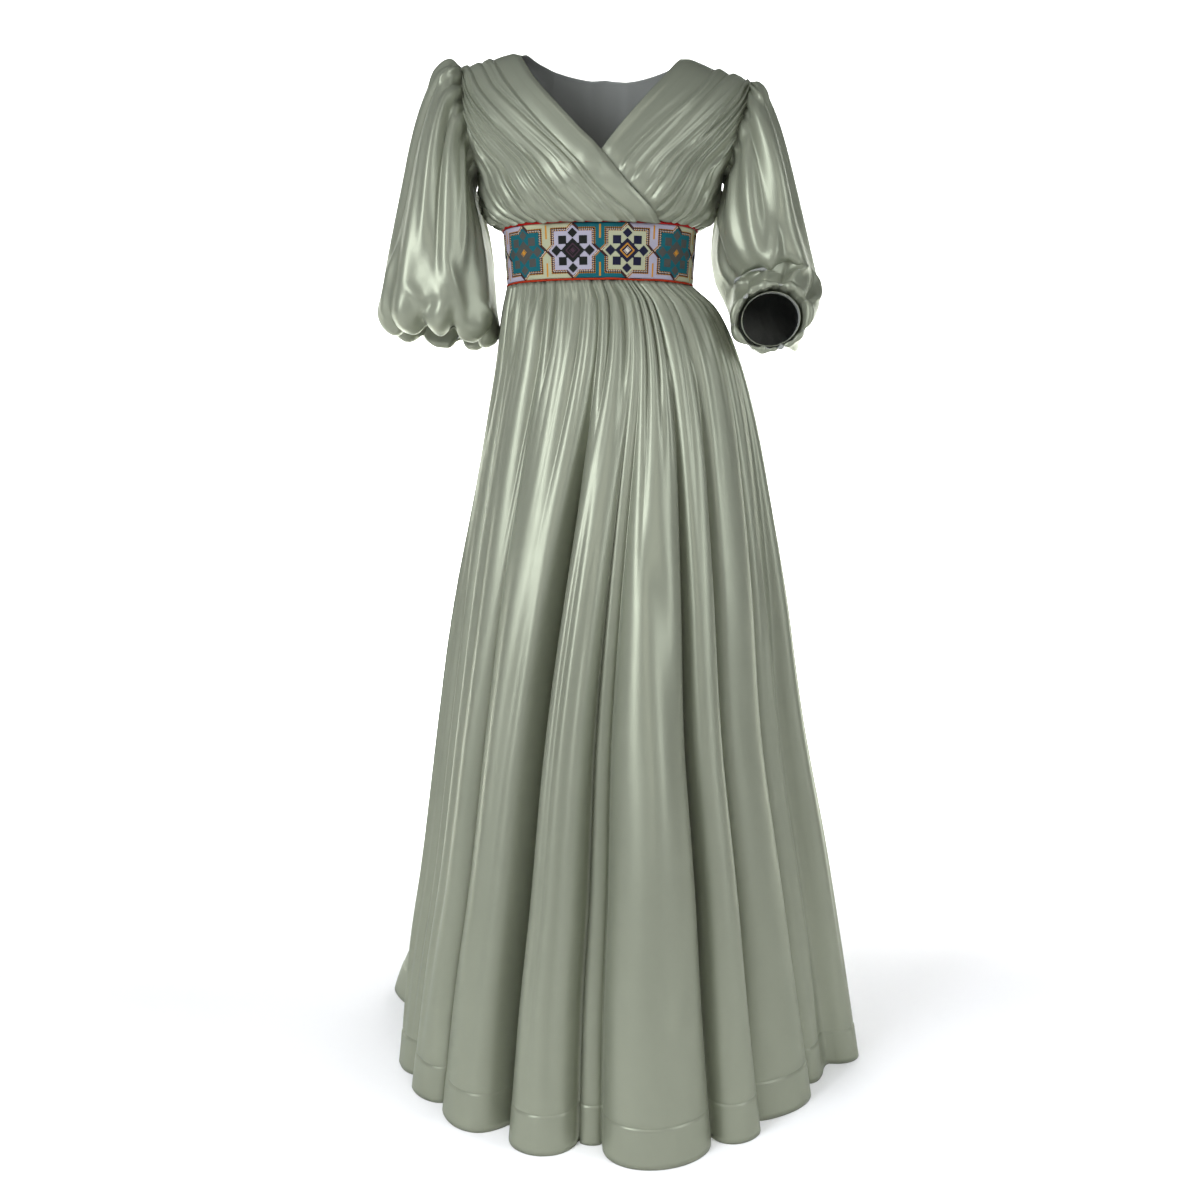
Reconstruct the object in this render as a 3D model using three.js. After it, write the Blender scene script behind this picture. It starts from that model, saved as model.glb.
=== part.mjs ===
// A pleated maxi dress of heavy satin, as it stands on a general figure with the figure left out.
// Millimetres, +Z up, the front faces -Y, and the wearer's right side is at -X.
// The origin is midway between the shoulders, at the height where the shoulders carry the dress.
//
// Every piece is a thin cloth wall over a smooth form. The form is worked out from rings in a
// short table, and the pleats, gathers and folds are raised from it along its normal.

import * as THREE from 'three';

// Driving dimensions
const CLOTH = 1.2; // wall of the satin
const HEM_CLOTH = 2.4; // the same satin where the hem is turned up inside
const HEM_DEPTH = 50; // from the hem edge to its line of stitching
const MOST_WALL = 2.8; // of a wall measured square to its form, where a fold is steep
const LEAST_COSINE = 0.42; // of a steep fold's slope, as far as the wall makes up for it
const SEAM = 0.3; // between two pieces that are sewn together
const BAND_WALL = 2.2; // stiff embroidered band
const TOP_CORD_RADIUS = 1.9; // red piping over the band
const LOW_CORD_RADIUS = 1.3; // finer piping under it
const BODICE_BOTTOM = -241.7; // height of the bodice's lower edge
const BAND_HEIGHT = 74;
const HEM_HEIGHT = -1470; // height of the hem below the shoulders
const CROSSOVER_LIFT = 4.2; // how far the right front stands off the left one under it
const SECTION_POWER = 0.82; // below 1 the body's rings are fuller than an ellipse
const SQUARE_NEAR_SEAM = 14; // distance from a seam over which walls turn square to it
const WHOLE_EDGE = 1e-6; // keeps a panel's last column on its own side of a seam

const TOP_CORD_HEIGHT = BODICE_BOTTOM - SEAM - TOP_CORD_RADIUS;
const BAND_TOP = TOP_CORD_HEIGHT - TOP_CORD_RADIUS - SEAM;
const BAND_BOTTOM = BAND_TOP - BAND_HEIGHT;
const LOW_CORD_HEIGHT = BAND_BOTTOM - SEAM - LOW_CORD_RADIUS;
const WAIST = LOW_CORD_HEIGHT - LOW_CORD_RADIUS - SEAM; // height of the skirt's gathered edge

// Rings of the bodice, from the band (rise 0) to the shoulder seam (rise 1). slope is how fast the
// ring falls towards the shoulder tips, and tilt how much the left shoulder hangs below the right.
const BODICE_RINGS = [
  { rise: 0.0, height: BODICE_BOTTOM, half: 138, front: 103, back: 94, centre: 0, slope: 0, tilt: 0 },
  { rise: 0.06, height: -229, half: 157, front: 113, back: 104, centre: 0, slope: 0, tilt: 0 },
  { rise: 0.2, height: -197, half: 167, front: 126, back: 111, centre: 0, slope: 0, tilt: 0 },
  { rise: 0.3, height: -170, half: 171, front: 128, back: 112, centre: 1, slope: 0, tilt: 0 },
  { rise: 0.45, height: -128, half: 190, front: 119, back: 110, centre: 2, slope: 0.03, tilt: 0.01 },
  { rise: 0.6, height: -84, half: 204, front: 103, back: 102, centre: 4, slope: 0.08, tilt: 0.02 },
  { rise: 0.75, height: -39, half: 211, front: 81, back: 87, centre: 6, slope: 0.15, tilt: 0.03 },
  { rise: 0.87, height: -3, half: 213, front: 57, back: 63, centre: 8, slope: 0.2, tilt: 0.04 },
  { rise: 0.95, height: 17, half: 214, front: 33, back: 37, centre: 8, slope: 0.24, tilt: 0.044 },
  { rise: 1.0, height: 24, half: 214, front: 0, back: 0, centre: 8, slope: 0.25, tilt: 0.044 },
];

// Soft fullness that the bust darts and pleats give to the two fronts
const FULLNESS = { out: 76, height: -200, wide: 58, tall: 46, depth: 12, fade: 40 };

// The armhole's edge: degrees round from the middle of the front or back, by rise
const ARMHOLE_BOTTOM = 0.3;
const SHOULDER_TIP = 72;
const ARMHOLE = [
  { rise: ARMHOLE_BOTTOM, round: 90 },
  { rise: 0.325, round: 84 },
  { rise: 0.38, round: 77 },
  { rise: 0.48, round: 71 },
  { rise: 0.62, round: 68 },
  { rise: 0.8, round: 69 },
  { rise: 1.0, round: SHOULDER_TIP },
];

// Rings of the skirt, from the gathered edge to the hem. It swings a little to the wearer's left.
const SKIRT_RINGS = [
  { height: WAIST, half: 132, front: 98, back: 90, centre: 0, behind: 0, power: 0.82 },
  { height: -355, half: 153, front: 118, back: 112, centre: 14, behind: 0, power: 0.84 },
  { height: -420, half: 172, front: 142, back: 140, centre: 25, behind: 1, power: 0.88 },
  { height: -500, half: 190, front: 160, back: 162, centre: 30, behind: 3, power: 0.92 },
  { height: -600, half: 208, front: 180, back: 186, centre: 32, behind: 5, power: 0.95 },
  { height: -750, half: 231, front: 210, back: 220, centre: 33, behind: 7, power: 0.98 },
  { height: -950, half: 256, front: 246, back: 264, centre: 34, behind: 9, power: 1 },
  { height: -1150, half: 286, front: 282, back: 306, centre: 40, behind: 11, power: 1 },
  { height: -1300, half: 310, front: 309, back: 336, centre: 40, behind: 13, power: 1 },
  { height: HEM_HEIGHT, half: 334, front: 340, back: 370, centre: 42, behind: 15, power: 1 },
];

// The skirt's folds, anticlockwise from the wearer's right side seam and round past the front. Each
// row is a valley: degrees round at the waist and at the hem and its depth at the hem. Then come
// the full fold that follows it: its height, how much higher its far side is than its near side,
// and its number of gathers.
const SKIRT_FOLDS = [
  { waist: -90, hem: -90, valley: 6, crest: 10, lean: 0, gathers: 4 },
  { waist: -60, hem: -71, valley: 24, crest: 7, lean: -4, gathers: 4 },
  { waist: -34, hem: -54.5, valley: 22, crest: 10, lean: 4, gathers: 5 },
  { waist: -3, hem: -33, valley: 62, crest: 14, lean: 4, gathers: 3 },
  { waist: 11, hem: -13.5, valley: 42, crest: -32, lean: 0, gathers: 1 },
  { waist: 14, hem: -7.5, valley: 40, crest: 26, lean: -12, gathers: 4 },
  { waist: 24, hem: 20.5, valley: 42, crest: -6, lean: -4, gathers: 2 },
  { waist: 37, hem: 35.5, valley: 44, crest: -30, lean: 5, gathers: 3 },
  { waist: 57, hem: 62.5, valley: 60, crest: -34, lean: 0, gathers: 2 },
  { waist: 73, hem: 78, valley: 28, crest: 14, lean: 4, gathers: 3 },
  { waist: 90, hem: 90, valley: 6, crest: 12, lean: -4, gathers: 3 },
  { waist: 109, hem: 108, valley: 38, crest: 10, lean: 3, gathers: 3 },
  { waist: 129, hem: 128, valley: 44, crest: 14, lean: -6, gathers: 4 },
  { waist: 152, hem: 151, valley: 40, crest: 18, lean: 4, gathers: 3 },
  { waist: 172, hem: 173, valley: 52, crest: 20, lean: -8, gathers: 4 },
  { waist: 196, hem: 197, valley: 40, crest: 14, lean: 5, gathers: 3 },
  { waist: 217, hem: 220, valley: 36, crest: 16, lean: 0, gathers: 4 },
  { waist: 243, hem: 252, valley: 30, crest: 4, lean: -3, gathers: 3 },
  { waist: 270, hem: 270, valley: 6, crest: 0, lean: 0, gathers: 0 },
];
// Where the hem kicks out beyond its folds, at the back of the wearer's right side
const HEM_FLARE = { round: 240, wide: 12, height: 108, from: 0.74 };
const GATHER_HEIGHT = 2.6; // of one gather under the band
const GATHER_COLUMNS = 3; // grid columns in one gather
const FOLD_FULLNESS = 0.45; // below 1 the full folds are round and their valleys narrow
const SKIRT_ROWS = [0, 0.02, 0.07, 0.16, 0.3, 0.52, 0.78]; // shares of the way down, above the hem

// Pleats of the three bodice panels: how many and how high, and where their grid lines run
const RIGHT_PLEATS = { count: 14, height: 4.2 };
const LEFT_PLEATS = { count: 12, height: 4.6 };
const BACK_PLEATS = { count: 14, height: 2.6 };
const PLEAT_COLUMNS = [0, 0.3, 0.7]; // shares of a pleat's width
const FRONT_ROWS = [0, 0.05, 0.14, 0.28, 0.44, 0.6, 0.76, 0.9, 0.97, 1]; // shares of a pleat's length
const BACK_ROWS = [0, 0.05, 0.14, 0.44, 0.6, 0.76, 0.9, 1];

// Rings of a sleeve beyond the armhole. out and in are its outer and inner side, x measured
// outwards from the middle of the dress; deep is its half depth; bend is how far the ring has
// turned from level, where 90 faces forwards; ahead is how far its middle is in front.
const RIGHT_SLEEVE_RINGS = [
  { outX: 212, outZ: -10, inX: 179, inZ: -183, deep: 58, ahead: 0, bend: 0 },
  { outX: 230, outZ: -26, inX: 178, inZ: -201, deep: 68, ahead: -1, bend: 0 },
  { outX: 247, outZ: -66, inX: 173, inZ: -228, deep: 78, ahead: -2, bend: 0 },
  { outX: 263, outZ: -120, inX: 166, inZ: -257, deep: 85, ahead: -3, bend: 0 },
  { outX: 278, outZ: -186, inX: 160, inZ: -288, deep: 88, ahead: -4, bend: 1 },
  { outX: 292, outZ: -248, inX: 156, inZ: -318, deep: 89, ahead: -4, bend: 2 },
  { outX: 303, outZ: -300, inX: 154, inZ: -344, deep: 88, ahead: -4, bend: 3 },
  { outX: 308, outZ: -336, inX: 153, inZ: -368, deep: 84, ahead: -3, bend: 4 },
  { outX: 309, outZ: -362, inX: 156, inZ: -386, deep: 75, ahead: -1, bend: 4 },
  { outX: 301, outZ: -379, inX: 163, inZ: -396, deep: 62, ahead: 0, bend: 4 },
  { outX: 289, outZ: -380, inX: 170, inZ: -394, deep: 55, ahead: 0, bend: 4 },
  { outX: 274, outZ: -350, inX: 177, inZ: -360, deep: 49, ahead: 0, bend: 2 },
];
const LEFT_SLEEVE_RINGS = [
  { outX: 222, outZ: -36, inX: 180, inZ: -183, deep: 56, ahead: 0, bend: 0 },
  { outX: 233, outZ: -50, inX: 179, inZ: -200, deep: 67, ahead: -1, bend: 0 },
  { outX: 249, outZ: -90, inX: 174, inZ: -226, deep: 77, ahead: -2, bend: 0 },
  { outX: 264, outZ: -142, inX: 169, inZ: -253, deep: 84, ahead: -3, bend: 0 },
  { outX: 279, outZ: -200, inX: 167, inZ: -282, deep: 88, ahead: -4, bend: 2 },
  { outX: 292, outZ: -256, inX: 171, inZ: -308, deep: 89, ahead: -2, bend: 7 },
  { outX: 302, outZ: -304, inX: 182, inZ: -328, deep: 86, ahead: 4, bend: 18 },
  { outX: 306, outZ: -334, inX: 190, inZ: -346, deep: 72, ahead: 18, bend: 38 },
  { outX: 301, outZ: -354, inX: 189, inZ: -366, deep: 53, ahead: 50, bend: 62 },
  { outX: 293, outZ: -364, inX: 184, inZ: -376, deep: 45, ahead: 82, bend: 78 },
  { outX: 288, outZ: -369, inX: 185, inZ: -377, deep: 44, ahead: 95, bend: 88 },
  { outX: 280, outZ: -373, inX: 193, inZ: -377, deep: 40, ahead: 74, bend: 90 },
];
const SLEEVE_ROWS = [0, 0.5, 1.2, 2.2, 3.6, 5.2, 6.8, 8, 9, 10, 11, 12]; // rings from the armhole
const SLEEVE_START = 1.3; // how far a sleeve's edge stands off the armhole's
const SLEEVE_GATHERS = 12;
const HEAD_GATHER = 4; // height of the gathers at the armhole
const CUFF_GATHER = 10; // and of those at the cuff
const SLEEVE_COLUMNS = 36;
const CUFF_LENGTH = 16;
// From a sleeve's gathered edge in to the inner face of its cuff
const RIGHT_CUFF_INSET = 3.4;
const LEFT_CUFF_INSET = 3.7;
const CUFF_COLUMNS = 20;
// The big folds down a sleeve: degrees round from its outer side through the front, their width
// and height, one row for each fold
const SLEEVE_FOLDS = [
  { round: 12, wide: 17, height: 5 },
  { round: 58, wide: 14, height: 9 },
  { round: 100, wide: 16, height: 8 },
  { round: 146, wide: 14, height: 6 },
  { round: 196, wide: 18, height: 4 },
  { round: 246, wide: 16, height: 7 },
  { round: 300, wide: 18, height: 8 },
];

const BAND_COLUMNS = 48;
const CORD_COLUMNS = 40;
const CORD_SIDES = 5;

const { clamp, smoothstep, lerp } = THREE.MathUtils;
const radians = THREE.MathUtils.degToRad;

// The row of a table at any value of its key column, with a smooth curve through the rows
function rowAt(table, key, value) {
  const at = clamp(value, table[0][key], table[table.length - 1][key]);
  let k = 0;
  while (k < table.length - 2 && at > table[k + 1][key]) k += 1;
  const [before, low, high, after] = [k - 1, k, k + 1, k + 2].map(
    (n) => table[clamp(n, 0, table.length - 1)],
  );
  const span = high[key] - low[key];
  const t = (at - low[key]) / span;
  const row = {};
  for (const column of Object.keys(low)) {
    const slopeLow = ((high[column] - before[column]) / (high[key] - before[key])) * span;
    const slopeHigh = ((after[column] - low[column]) / (after[key] - low[key])) * span;
    const [t2, t3] = [t * t, t * t * t];
    row[column] =
      (2 * t3 - 3 * t2 + 1) * low[column] +
      (t3 - 2 * t2 + t) * slopeLow +
      (3 * t2 - 2 * t3) * high[column] +
      (t3 - t2) * slopeHigh;
  }
  return row;
}

// A table that falls in height is read from its lowest row upwards
const SKIRT_RINGS_UP = [...SKIRT_RINGS].reverse();

// A point of a body ring: 0 degrees is the middle of the front, 90 the wearer's left side
function ringPoint(ring, degrees, power = SECTION_POWER) {
  const angle = radians(degrees);
  const facing = Math.cos(angle);
  const depth = Math.abs(facing) ** power;
  const half = SEAM / 2;
  const y = facing >= 0 ? -ring.front * depth - half : ring.back * depth + half;
  return new THREE.Vector3(ring.half * Math.sin(angle), y, 0);
}

// The normal of a surface given as a function of two values, by small steps
function normalOf(surface, a, b, stepA, stepB) {
  const along = surface(a + stepA, b).sub(surface(a - stepA, b));
  const across = surface(a, b + stepB).sub(surface(a, b - stepB));
  return along.cross(across).normalize();
}

// A point of the bodice's form. The front is -90 to 90 degrees and the back 90 to 270.
function bodicePoint(degrees, rise) {
  const ring = rowAt(BODICE_RINGS, 'rise', rise);
  const point = ringPoint(ring, degrees);
  const out = Math.abs(point.x);
  point.z = ring.height - ring.slope * out - ring.tilt * point.x;
  point.x += ring.centre;
  if (degrees <= 90) {
    const aside = (out - FULLNESS.out) / FULLNESS.wide;
    const above = (point.z - FULLNESS.height) / FULLNESS.tall;
    const fromSide = smoothstep(-point.y, 0, FULLNESS.fade);
    point.y -= FULLNESS.depth * Math.exp(-aside * aside - above * above) * fromSide;
  }
  return point;
}

// Its outward normal, turned square to each seam close to that seam
function bodiceNormal(degrees, rise) {
  const [turn, climb] = [1.5, 0.004];
  const back = degrees > 90;
  const [least, most] = back ? [90 + turn, 270 - turn] : [-90 + turn, 90 - turn];
  const at = clamp(degrees, least, most);
  const up = clamp(rise, climb, 1 - climb);
  const normal = normalOf(bodicePoint, at, up, turn, climb);
  const fromSeam = Math.abs(bodicePoint(degrees, rise).y) - SEAM / 2;
  normal.y *= smoothstep(fromSeam, 0, SQUARE_NEAR_SEAM);
  normal.z *= smoothstep(rise, 0, 0.03);
  if (rise > ARMHOLE_BOTTOM) {
    const fromArmhole = rowAt(ARMHOLE, 'rise', rise).round - Math.abs(back ? degrees - 180 : degrees);
    normal.x *= smoothstep(fromArmhole, 0, 9);
  }
  return normal.normalize();
}

// One pleat across its width: it rises quickly from its valley and falls away slowly
const pleatShape = (share) => Math.sin(Math.PI * share ** 0.7) ** 1.2;

// How much of their height the pleats have along their length, from the shoulder to the band
function pleatSwell(along, number) {
  const uneven = 0.78 + 0.22 * Math.sin(number * 2.4 + 1);
  return (0.55 + 0.45 * Math.sin(Math.PI * clamp(along, 0, 1))) * uneven;
}

// The bow that a slanting line has over the straight one between its ends
const bow = (along) => (4 * along * (1 - along)) ** 0.6;

// The upper and outer edge of a front, from the neck along the shoulder, the armhole and the side
function frontOuterEdge(share, neck) {
  const [shoulderEnd, armholeEnd, sideLeft] = [0.34, 0.74, 0.035];
  if (share < shoulderEnd) {
    return { round: lerp(neck, SHOULDER_TIP, share / shoulderEnd), rise: 1 };
  }
  if (share < armholeEnd) {
    const rise = lerp(1, ARMHOLE_BOTTOM, (share - shoulderEnd) / (armholeEnd - shoulderEnd));
    return { round: rowAt(ARMHOLE, 'rise', rise).round, rise };
  }
  const rise = lerp(ARMHOLE_BOTTOM, sideLeft, (share - armholeEnd) / (1 - armholeEnd));
  return { round: 90, rise };
}

// A front's pleat lines, measured round towards its own side: share 0 is the neckline's edge and
// share 1 the side seam, and along runs from the shoulder to the band
const RIGHT_FRONT = { side: -1, neck: 32.6, foot: -36.5, bow: 13.3, lift: CROSSOVER_LIFT };
const LEFT_FRONT = { side: 1, neck: 29.8, foot: -25, bow: 6, lift: 0 };

function frontLine(front, share, along) {
  const start = frontOuterEdge(share, front.neck);
  const footRound = lerp(front.foot, 90, share);
  const bent = front.bow * (1 - share) ** 1.5 * bow(along);
  return {
    degrees: front.side * (lerp(start.round, footRound, along) + bent),
    rise: lerp(start.rise, 0, along),
  };
}

// Degrees round from the middle of the front to a front's neckline, at any rise
const necklineAt = (front, rise) => frontLine(front, 0, 1 - rise).degrees;

function frontSample(front, pleats, share, along) {
  const { degrees, rise } = frontLine(front, share, along);
  const number = Math.floor(share * pleats.count - 1e-9);
  const pleat = pleatShape(share * pleats.count - number) * pleatSwell(along, number);
  const [leadIn, climb, settle] = [16, 12, 7]; // degrees round
  let lift = pleats.height * pleat;
  if (front === RIGHT_FRONT) {
    const pastUnder = degrees - (necklineAt(LEFT_FRONT, rise) - leadIn);
    lift += front.lift * smoothstep(pastUnder, 0, climb);
  } else {
    lift *= smoothstep(degrees - necklineAt(RIGHT_FRONT, rise), 0, settle);
  }
  return {
    point: bodicePoint(degrees, rise),
    normal: bodiceNormal(degrees, rise),
    lift,
  };
}

// The back: share 0 is the left side seam and share 1 the right one. Its upper edge is the armhole,
// the shoulder and the low curve of the back neck.
const BACK_NECK = { round: 31, drop: 0.17 };

function backUpperEdge(share) {
  const [armholeEnd, shoulderEnd] = [0.2, 0.36];
  const fromSide = Math.min(share, 1 - share);
  let edge;
  if (fromSide < armholeEnd) {
    const rise = lerp(ARMHOLE_BOTTOM, 1, fromSide / armholeEnd);
    edge = { round: rowAt(ARMHOLE, 'rise', rise).round, rise };
  } else if (fromSide < shoulderEnd) {
    const part = (fromSide - armholeEnd) / (shoulderEnd - armholeEnd);
    edge = { round: lerp(SHOULDER_TIP, BACK_NECK.round, part), rise: 1 };
  } else {
    const part = (fromSide - shoulderEnd) / (0.5 - shoulderEnd);
    const rise = 1 - BACK_NECK.drop * Math.sin((part * Math.PI) / 2) ** 0.8;
    edge = { round: lerp(BACK_NECK.round, 0, part), rise };
  }
  const away = share < 0.5 ? -edge.round : edge.round;
  return { degrees: 180 + away, rise: edge.rise };
}

function backSample(share, along) {
  const top = backUpperEdge(share);
  const round = lerp(top.degrees, 90 + 180 * share, along);
  const degrees = clamp(round, 90 + WHOLE_EDGE, 270 - WHOLE_EDGE);
  const rise = lerp(top.rise, 0, along);
  const number = Math.floor(share * BACK_PLEATS.count - 1e-9);
  const pleat = pleatShape(share * BACK_PLEATS.count - number);
  const swell = 0.35 + 0.65 * Math.abs(2 * along - 1);
  return {
    point: bodicePoint(degrees, rise),
    normal: bodiceNormal(degrees, rise),
    lift: BACK_PLEATS.height * pleat * swell,
  };
}

// Which fold of the skirt a share of the way round lies in, and how far across it
const GATHER_TOTAL = SKIRT_FOLDS.reduce((sum, fold) => sum + fold.gathers, 0);

function foldAt(gather) {
  let first = 0;
  let k = 0;
  while (gather >= first + SKIRT_FOLDS[k].gathers && k < SKIRT_FOLDS.length - 2) {
    first += SKIRT_FOLDS[k].gathers;
    k += 1;
  }
  return { k, share: (gather - first) / SKIRT_FOLDS[k].gathers };
}

// The skirt at a gather's number round the waist and a share of the way down. Folds grow towards
// the hem, and gathers fade from the waist.
function skirtSample(gather, down) {
  const { k, share } = foldAt(gather);
  const [low, high] = [SKIRT_FOLDS[k], SKIRT_FOLDS[k + 1]];
  const fan = 1 - (1 - down) ** 2.6;
  const degrees = lerp(
    lerp(low.waist, high.waist, share),
    lerp(low.hem, high.hem, share),
    fan,
  );
  const height = lerp(WAIST, HEM_HEIGHT, down);
  const ring = rowAt(SKIRT_RINGS_UP, 'height', height);
  const point = ringPoint(ring, degrees, ring.power);
  point.z = height;
  const normal = new THREE.Vector3(point.x, point.y * 1.1, 0).normalize();
  normal.y *= smoothstep(Math.abs(point.y) - SEAM / 2, 0, SQUARE_NEAR_SEAM);
  normal.normalize();
  const round = (4 * share * (1 - share)) ** FOLD_FULLNESS;
  const valley = lerp(low.valley, high.valley, share);
  const crest = low.crest + low.lean * (2 * share - 1);
  const fold = (crest + valley) * round - valley;
  const folded = fold * smoothstep(down, 0.02, 0.75) ** 0.8;
  const aside = (degrees - HEM_FLARE.round) / HEM_FLARE.wide;
  const flare = HEM_FLARE.height * Math.exp(-aside * aside) * smoothstep(down, HEM_FLARE.from, 1.04);
  const uneven = 0.7 + 0.3 * Math.sin(Math.floor(gather) * 1.9);
  const fading = smoothstep(down, -0.03, 0.03) * (1 - smoothstep(down, 0.08, 0.5));
  const gathered = GATHER_HEIGHT * Math.cos(2 * Math.PI * gather + Math.PI) * fading * uneven;
  point.x += ring.centre;
  point.y += ring.behind;
  return { point, normal, lift: folded + flare + gathered };
}

// The armhole's edge as a closed curve: 0 is the shoulder tip, 90 the front, 180 the underarm
function armholeEdge(side, round) {
  const middle = (1 + ARMHOLE_BOTTOM) / 2;
  const rise = middle + (1 - middle) * Math.cos(radians(round));
  const edge = rowAt(ARMHOLE, 'rise', rise).round;
  const front = round <= 180;
  return { degrees: front ? side * edge : 180 - side * edge, rise };
}

function armholePoint(side, round) {
  const { degrees, rise } = armholeEdge(side, ((round % 360) + 360) % 360);
  return bodicePoint(degrees, rise);
}

// A ring of a sleeve as a middle and two half widths
function sleeveRing(row, side) {
  const bend = radians(row.bend);
  return {
    middle: new THREE.Vector3((side * (row.outX + row.inX)) / 2, -row.ahead, (row.outZ + row.inZ) / 2),
    out: new THREE.Vector3((side * (row.outX - row.inX)) / 2, 0, (row.outZ - row.inZ) / 2),
    front: new THREE.Vector3(0, -row.deep * Math.cos(bend), row.deep * Math.sin(bend)),
  };
}

// A point of a sleeve's form: round is 0 at its outer side, 90 at the front, and down counts rings
function sleevePoint(rings, side, round, down) {
  const angle = radians(round);
  const at = (n) => {
    if (n < 1) {
      const outwards = side * (SLEEVE_START + n * 9);
      return armholePoint(side, round).add(new THREE.Vector3(outwards, 0, 0));
    }
    const ring = sleeveRing(rings[Math.min(n, rings.length) - 1], side);
    const point = ring.middle.clone();
    point.addScaledVector(ring.out, Math.cos(angle));
    return point.addScaledVector(ring.front, Math.sin(angle));
  };
  const k = clamp(Math.floor(down), 0, rings.length - 1);
  const [a, b, c, d] = [at(k - 1), at(k), at(k + 1), at(k + 2)];
  const t = down - k;
  const curve = (axis) => {
    const slopeStart = (c[axis] - a[axis]) / 2;
    const slopeEnd = (d[axis] - b[axis]) / 2;
    const [t2, t3] = [t * t, t * t * t];
    return (
      (2 * t3 - 3 * t2 + 1) * b[axis] +
      (t3 - 2 * t2 + t) * slopeStart +
      (3 * t2 - 2 * t3) * c[axis] +
      (t3 - t2) * slopeEnd
    );
  };
  return new THREE.Vector3(curve('x'), curve('y'), curve('z'));
}

function sleeveSample(rings, side, round, down) {
  const last = rings.length;
  const surface = (angle, ring) => sleevePoint(rings, side, angle, ring);
  const at = clamp(down, 0.02, last - 0.02);
  const normal = normalOf(surface, round, at, 1, 0.02).multiplyScalar(side);
  const towardsBody = Math.min(side * normal.x, 0);
  normal.x -= side * towardsBody * (1 - smoothstep(down, 0, 0.6));
  normal.normalize();
  const gather = (round / 360) * SLEEVE_GATHERS;
  const wave = 0.5 - 0.5 * Math.cos(2 * Math.PI * gather);
  const uneven = 0.75 + 0.25 * Math.sin(Math.floor(gather) * 2.1 + side);
  const head = HEAD_GATHER * (1 - smoothstep(down, 0.4, 3.2)) * smoothstep(down, -0.6, 0.8);
  const drawnIn = 1 - 0.9 * smoothstep(down, last - 1.6, last);
  const cuff = CUFF_GATHER * smoothstep(down, last - 5, last - 2.2) * drawnIn;
  const belly = smoothstep(down, 1, 4) * (1 - smoothstep(down, last - 3.4, last - 1.6));
  let folds = 0;
  for (const fold of SLEEVE_FOLDS) {
    const turn = ((round - fold.round + 540) % 360) - 180;
    folds += fold.height * Math.exp(-((turn / fold.wide) ** 2));
  }
  return {
    point: surface(round, down),
    normal,
    lift: (head + cuff) * wave * uneven + belly * folds,
  };
}

// A cloth wall: the outer face, the inner face and the rims between them. sample gives a point of
// the form, its normal and how far the inner face is raised from it. Where the raised face is steep
// the wall is measured thicker along the normal, so that the cloth keeps its thickness.
function clothWall(sample, columns, rows, closed, thickness) {
  const wide = columns.length;
  const high = rows.length;
  const nodes = rows.map((row) => columns.map((column) => sample(column, row)));
  const raised = nodes.map((line) => line.map(({ point, normal, lift }) => (
    point.clone().addScaledVector(normal, lift))));
  const around = (i) => (closed ? (i + wide) % wide : clamp(i, 0, wide - 1));
  const leastCosine = (i, j) => {
    let least = 1;
    for (const side of [-1, 1]) {
      const across = raised[j][around(i + side)].clone().sub(raised[j][i]);
      if (across.lengthSq() < 1e-6) continue;
      const climb = Math.abs(across.normalize().dot(nodes[j][i].normal));
      least = Math.min(least, Math.sqrt(Math.max(1 - climb * climb, 0)));
    }
    return Math.max(least, LEAST_COSINE);
  };
  const positions = [];
  for (let j = 0; j < high; j += 1) {
    for (let i = 0; i < wide; i += 1) {
      const thick = (typeof thickness === 'function' ? thickness(rows[j]) : thickness) / leastCosine(i, j);
      const { normal } = nodes[j][i];
      positions.push(...raised[j][i].clone().addScaledVector(normal, Math.min(thick, MOST_WALL)).toArray());
      positions.push(...raised[j][i].toArray());
    }
  }
  const outer = (i, j) => (j * wide + (i % wide)) * 2;
  const inner = (i, j) => outer(i, j) + 1;
  const faces = [];
  const quad = (a, b, c, d) => faces.push(a, b, c, a, c, d);
  for (let i = 0; i < (closed ? wide : wide - 1); i += 1) {
    for (let j = 0; j < high - 1; j += 1) {
      quad(outer(i, j), outer(i + 1, j), outer(i + 1, j + 1), outer(i, j + 1));
      quad(inner(i, j + 1), inner(i + 1, j + 1), inner(i + 1, j), inner(i, j));
    }
    quad(outer(i + 1, 0), outer(i, 0), inner(i, 0), inner(i + 1, 0));
    quad(outer(i, high - 1), outer(i + 1, high - 1), inner(i + 1, high - 1), inner(i, high - 1));
  }
  for (let j = 0; !closed && j < high - 1; j += 1) {
    quad(outer(0, j), outer(0, j + 1), inner(0, j + 1), inner(0, j));
    quad(outer(wide - 1, j + 1), outer(wide - 1, j), inner(wide - 1, j), inner(wide - 1, j + 1));
  }
  return facingOut(positions, faces);
}

// A geometry with its faces turned outwards
function facingOut(positions, faces) {
  const corner = (n) => new THREE.Vector3(...positions.slice(n * 3, n * 3 + 3));
  let volume = 0;
  for (let n = 0; n < faces.length; n += 3) {
    const [a, b, c] = [corner(faces[n]), corner(faces[n + 1]), corner(faces[n + 2])];
    volume += a.dot(b.cross(c));
  }
  if (volume < 0) faces.reverse();
  const geometry = new THREE.BufferGeometry();
  geometry.setAttribute('position', new THREE.Float32BufferAttribute(positions, 3));
  geometry.setIndex(faces);
  geometry.computeVertexNormals();
  return geometry;
}

// Evenly spaced values, with or without the last one
const steps = (count, from, to) => Array.from({ length: count }, (_, n) => lerp(from, to, n / count));
const pleatColumns = (count) => [
  ...Array.from({ length: count }, (_, n) => PLEAT_COLUMNS.map((share) => (n + share) / count)).flat(),
  1,
];
const gatherColumns = (first, last) => [...steps((last - first) * GATHER_COLUMNS, first, last), last];

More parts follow.
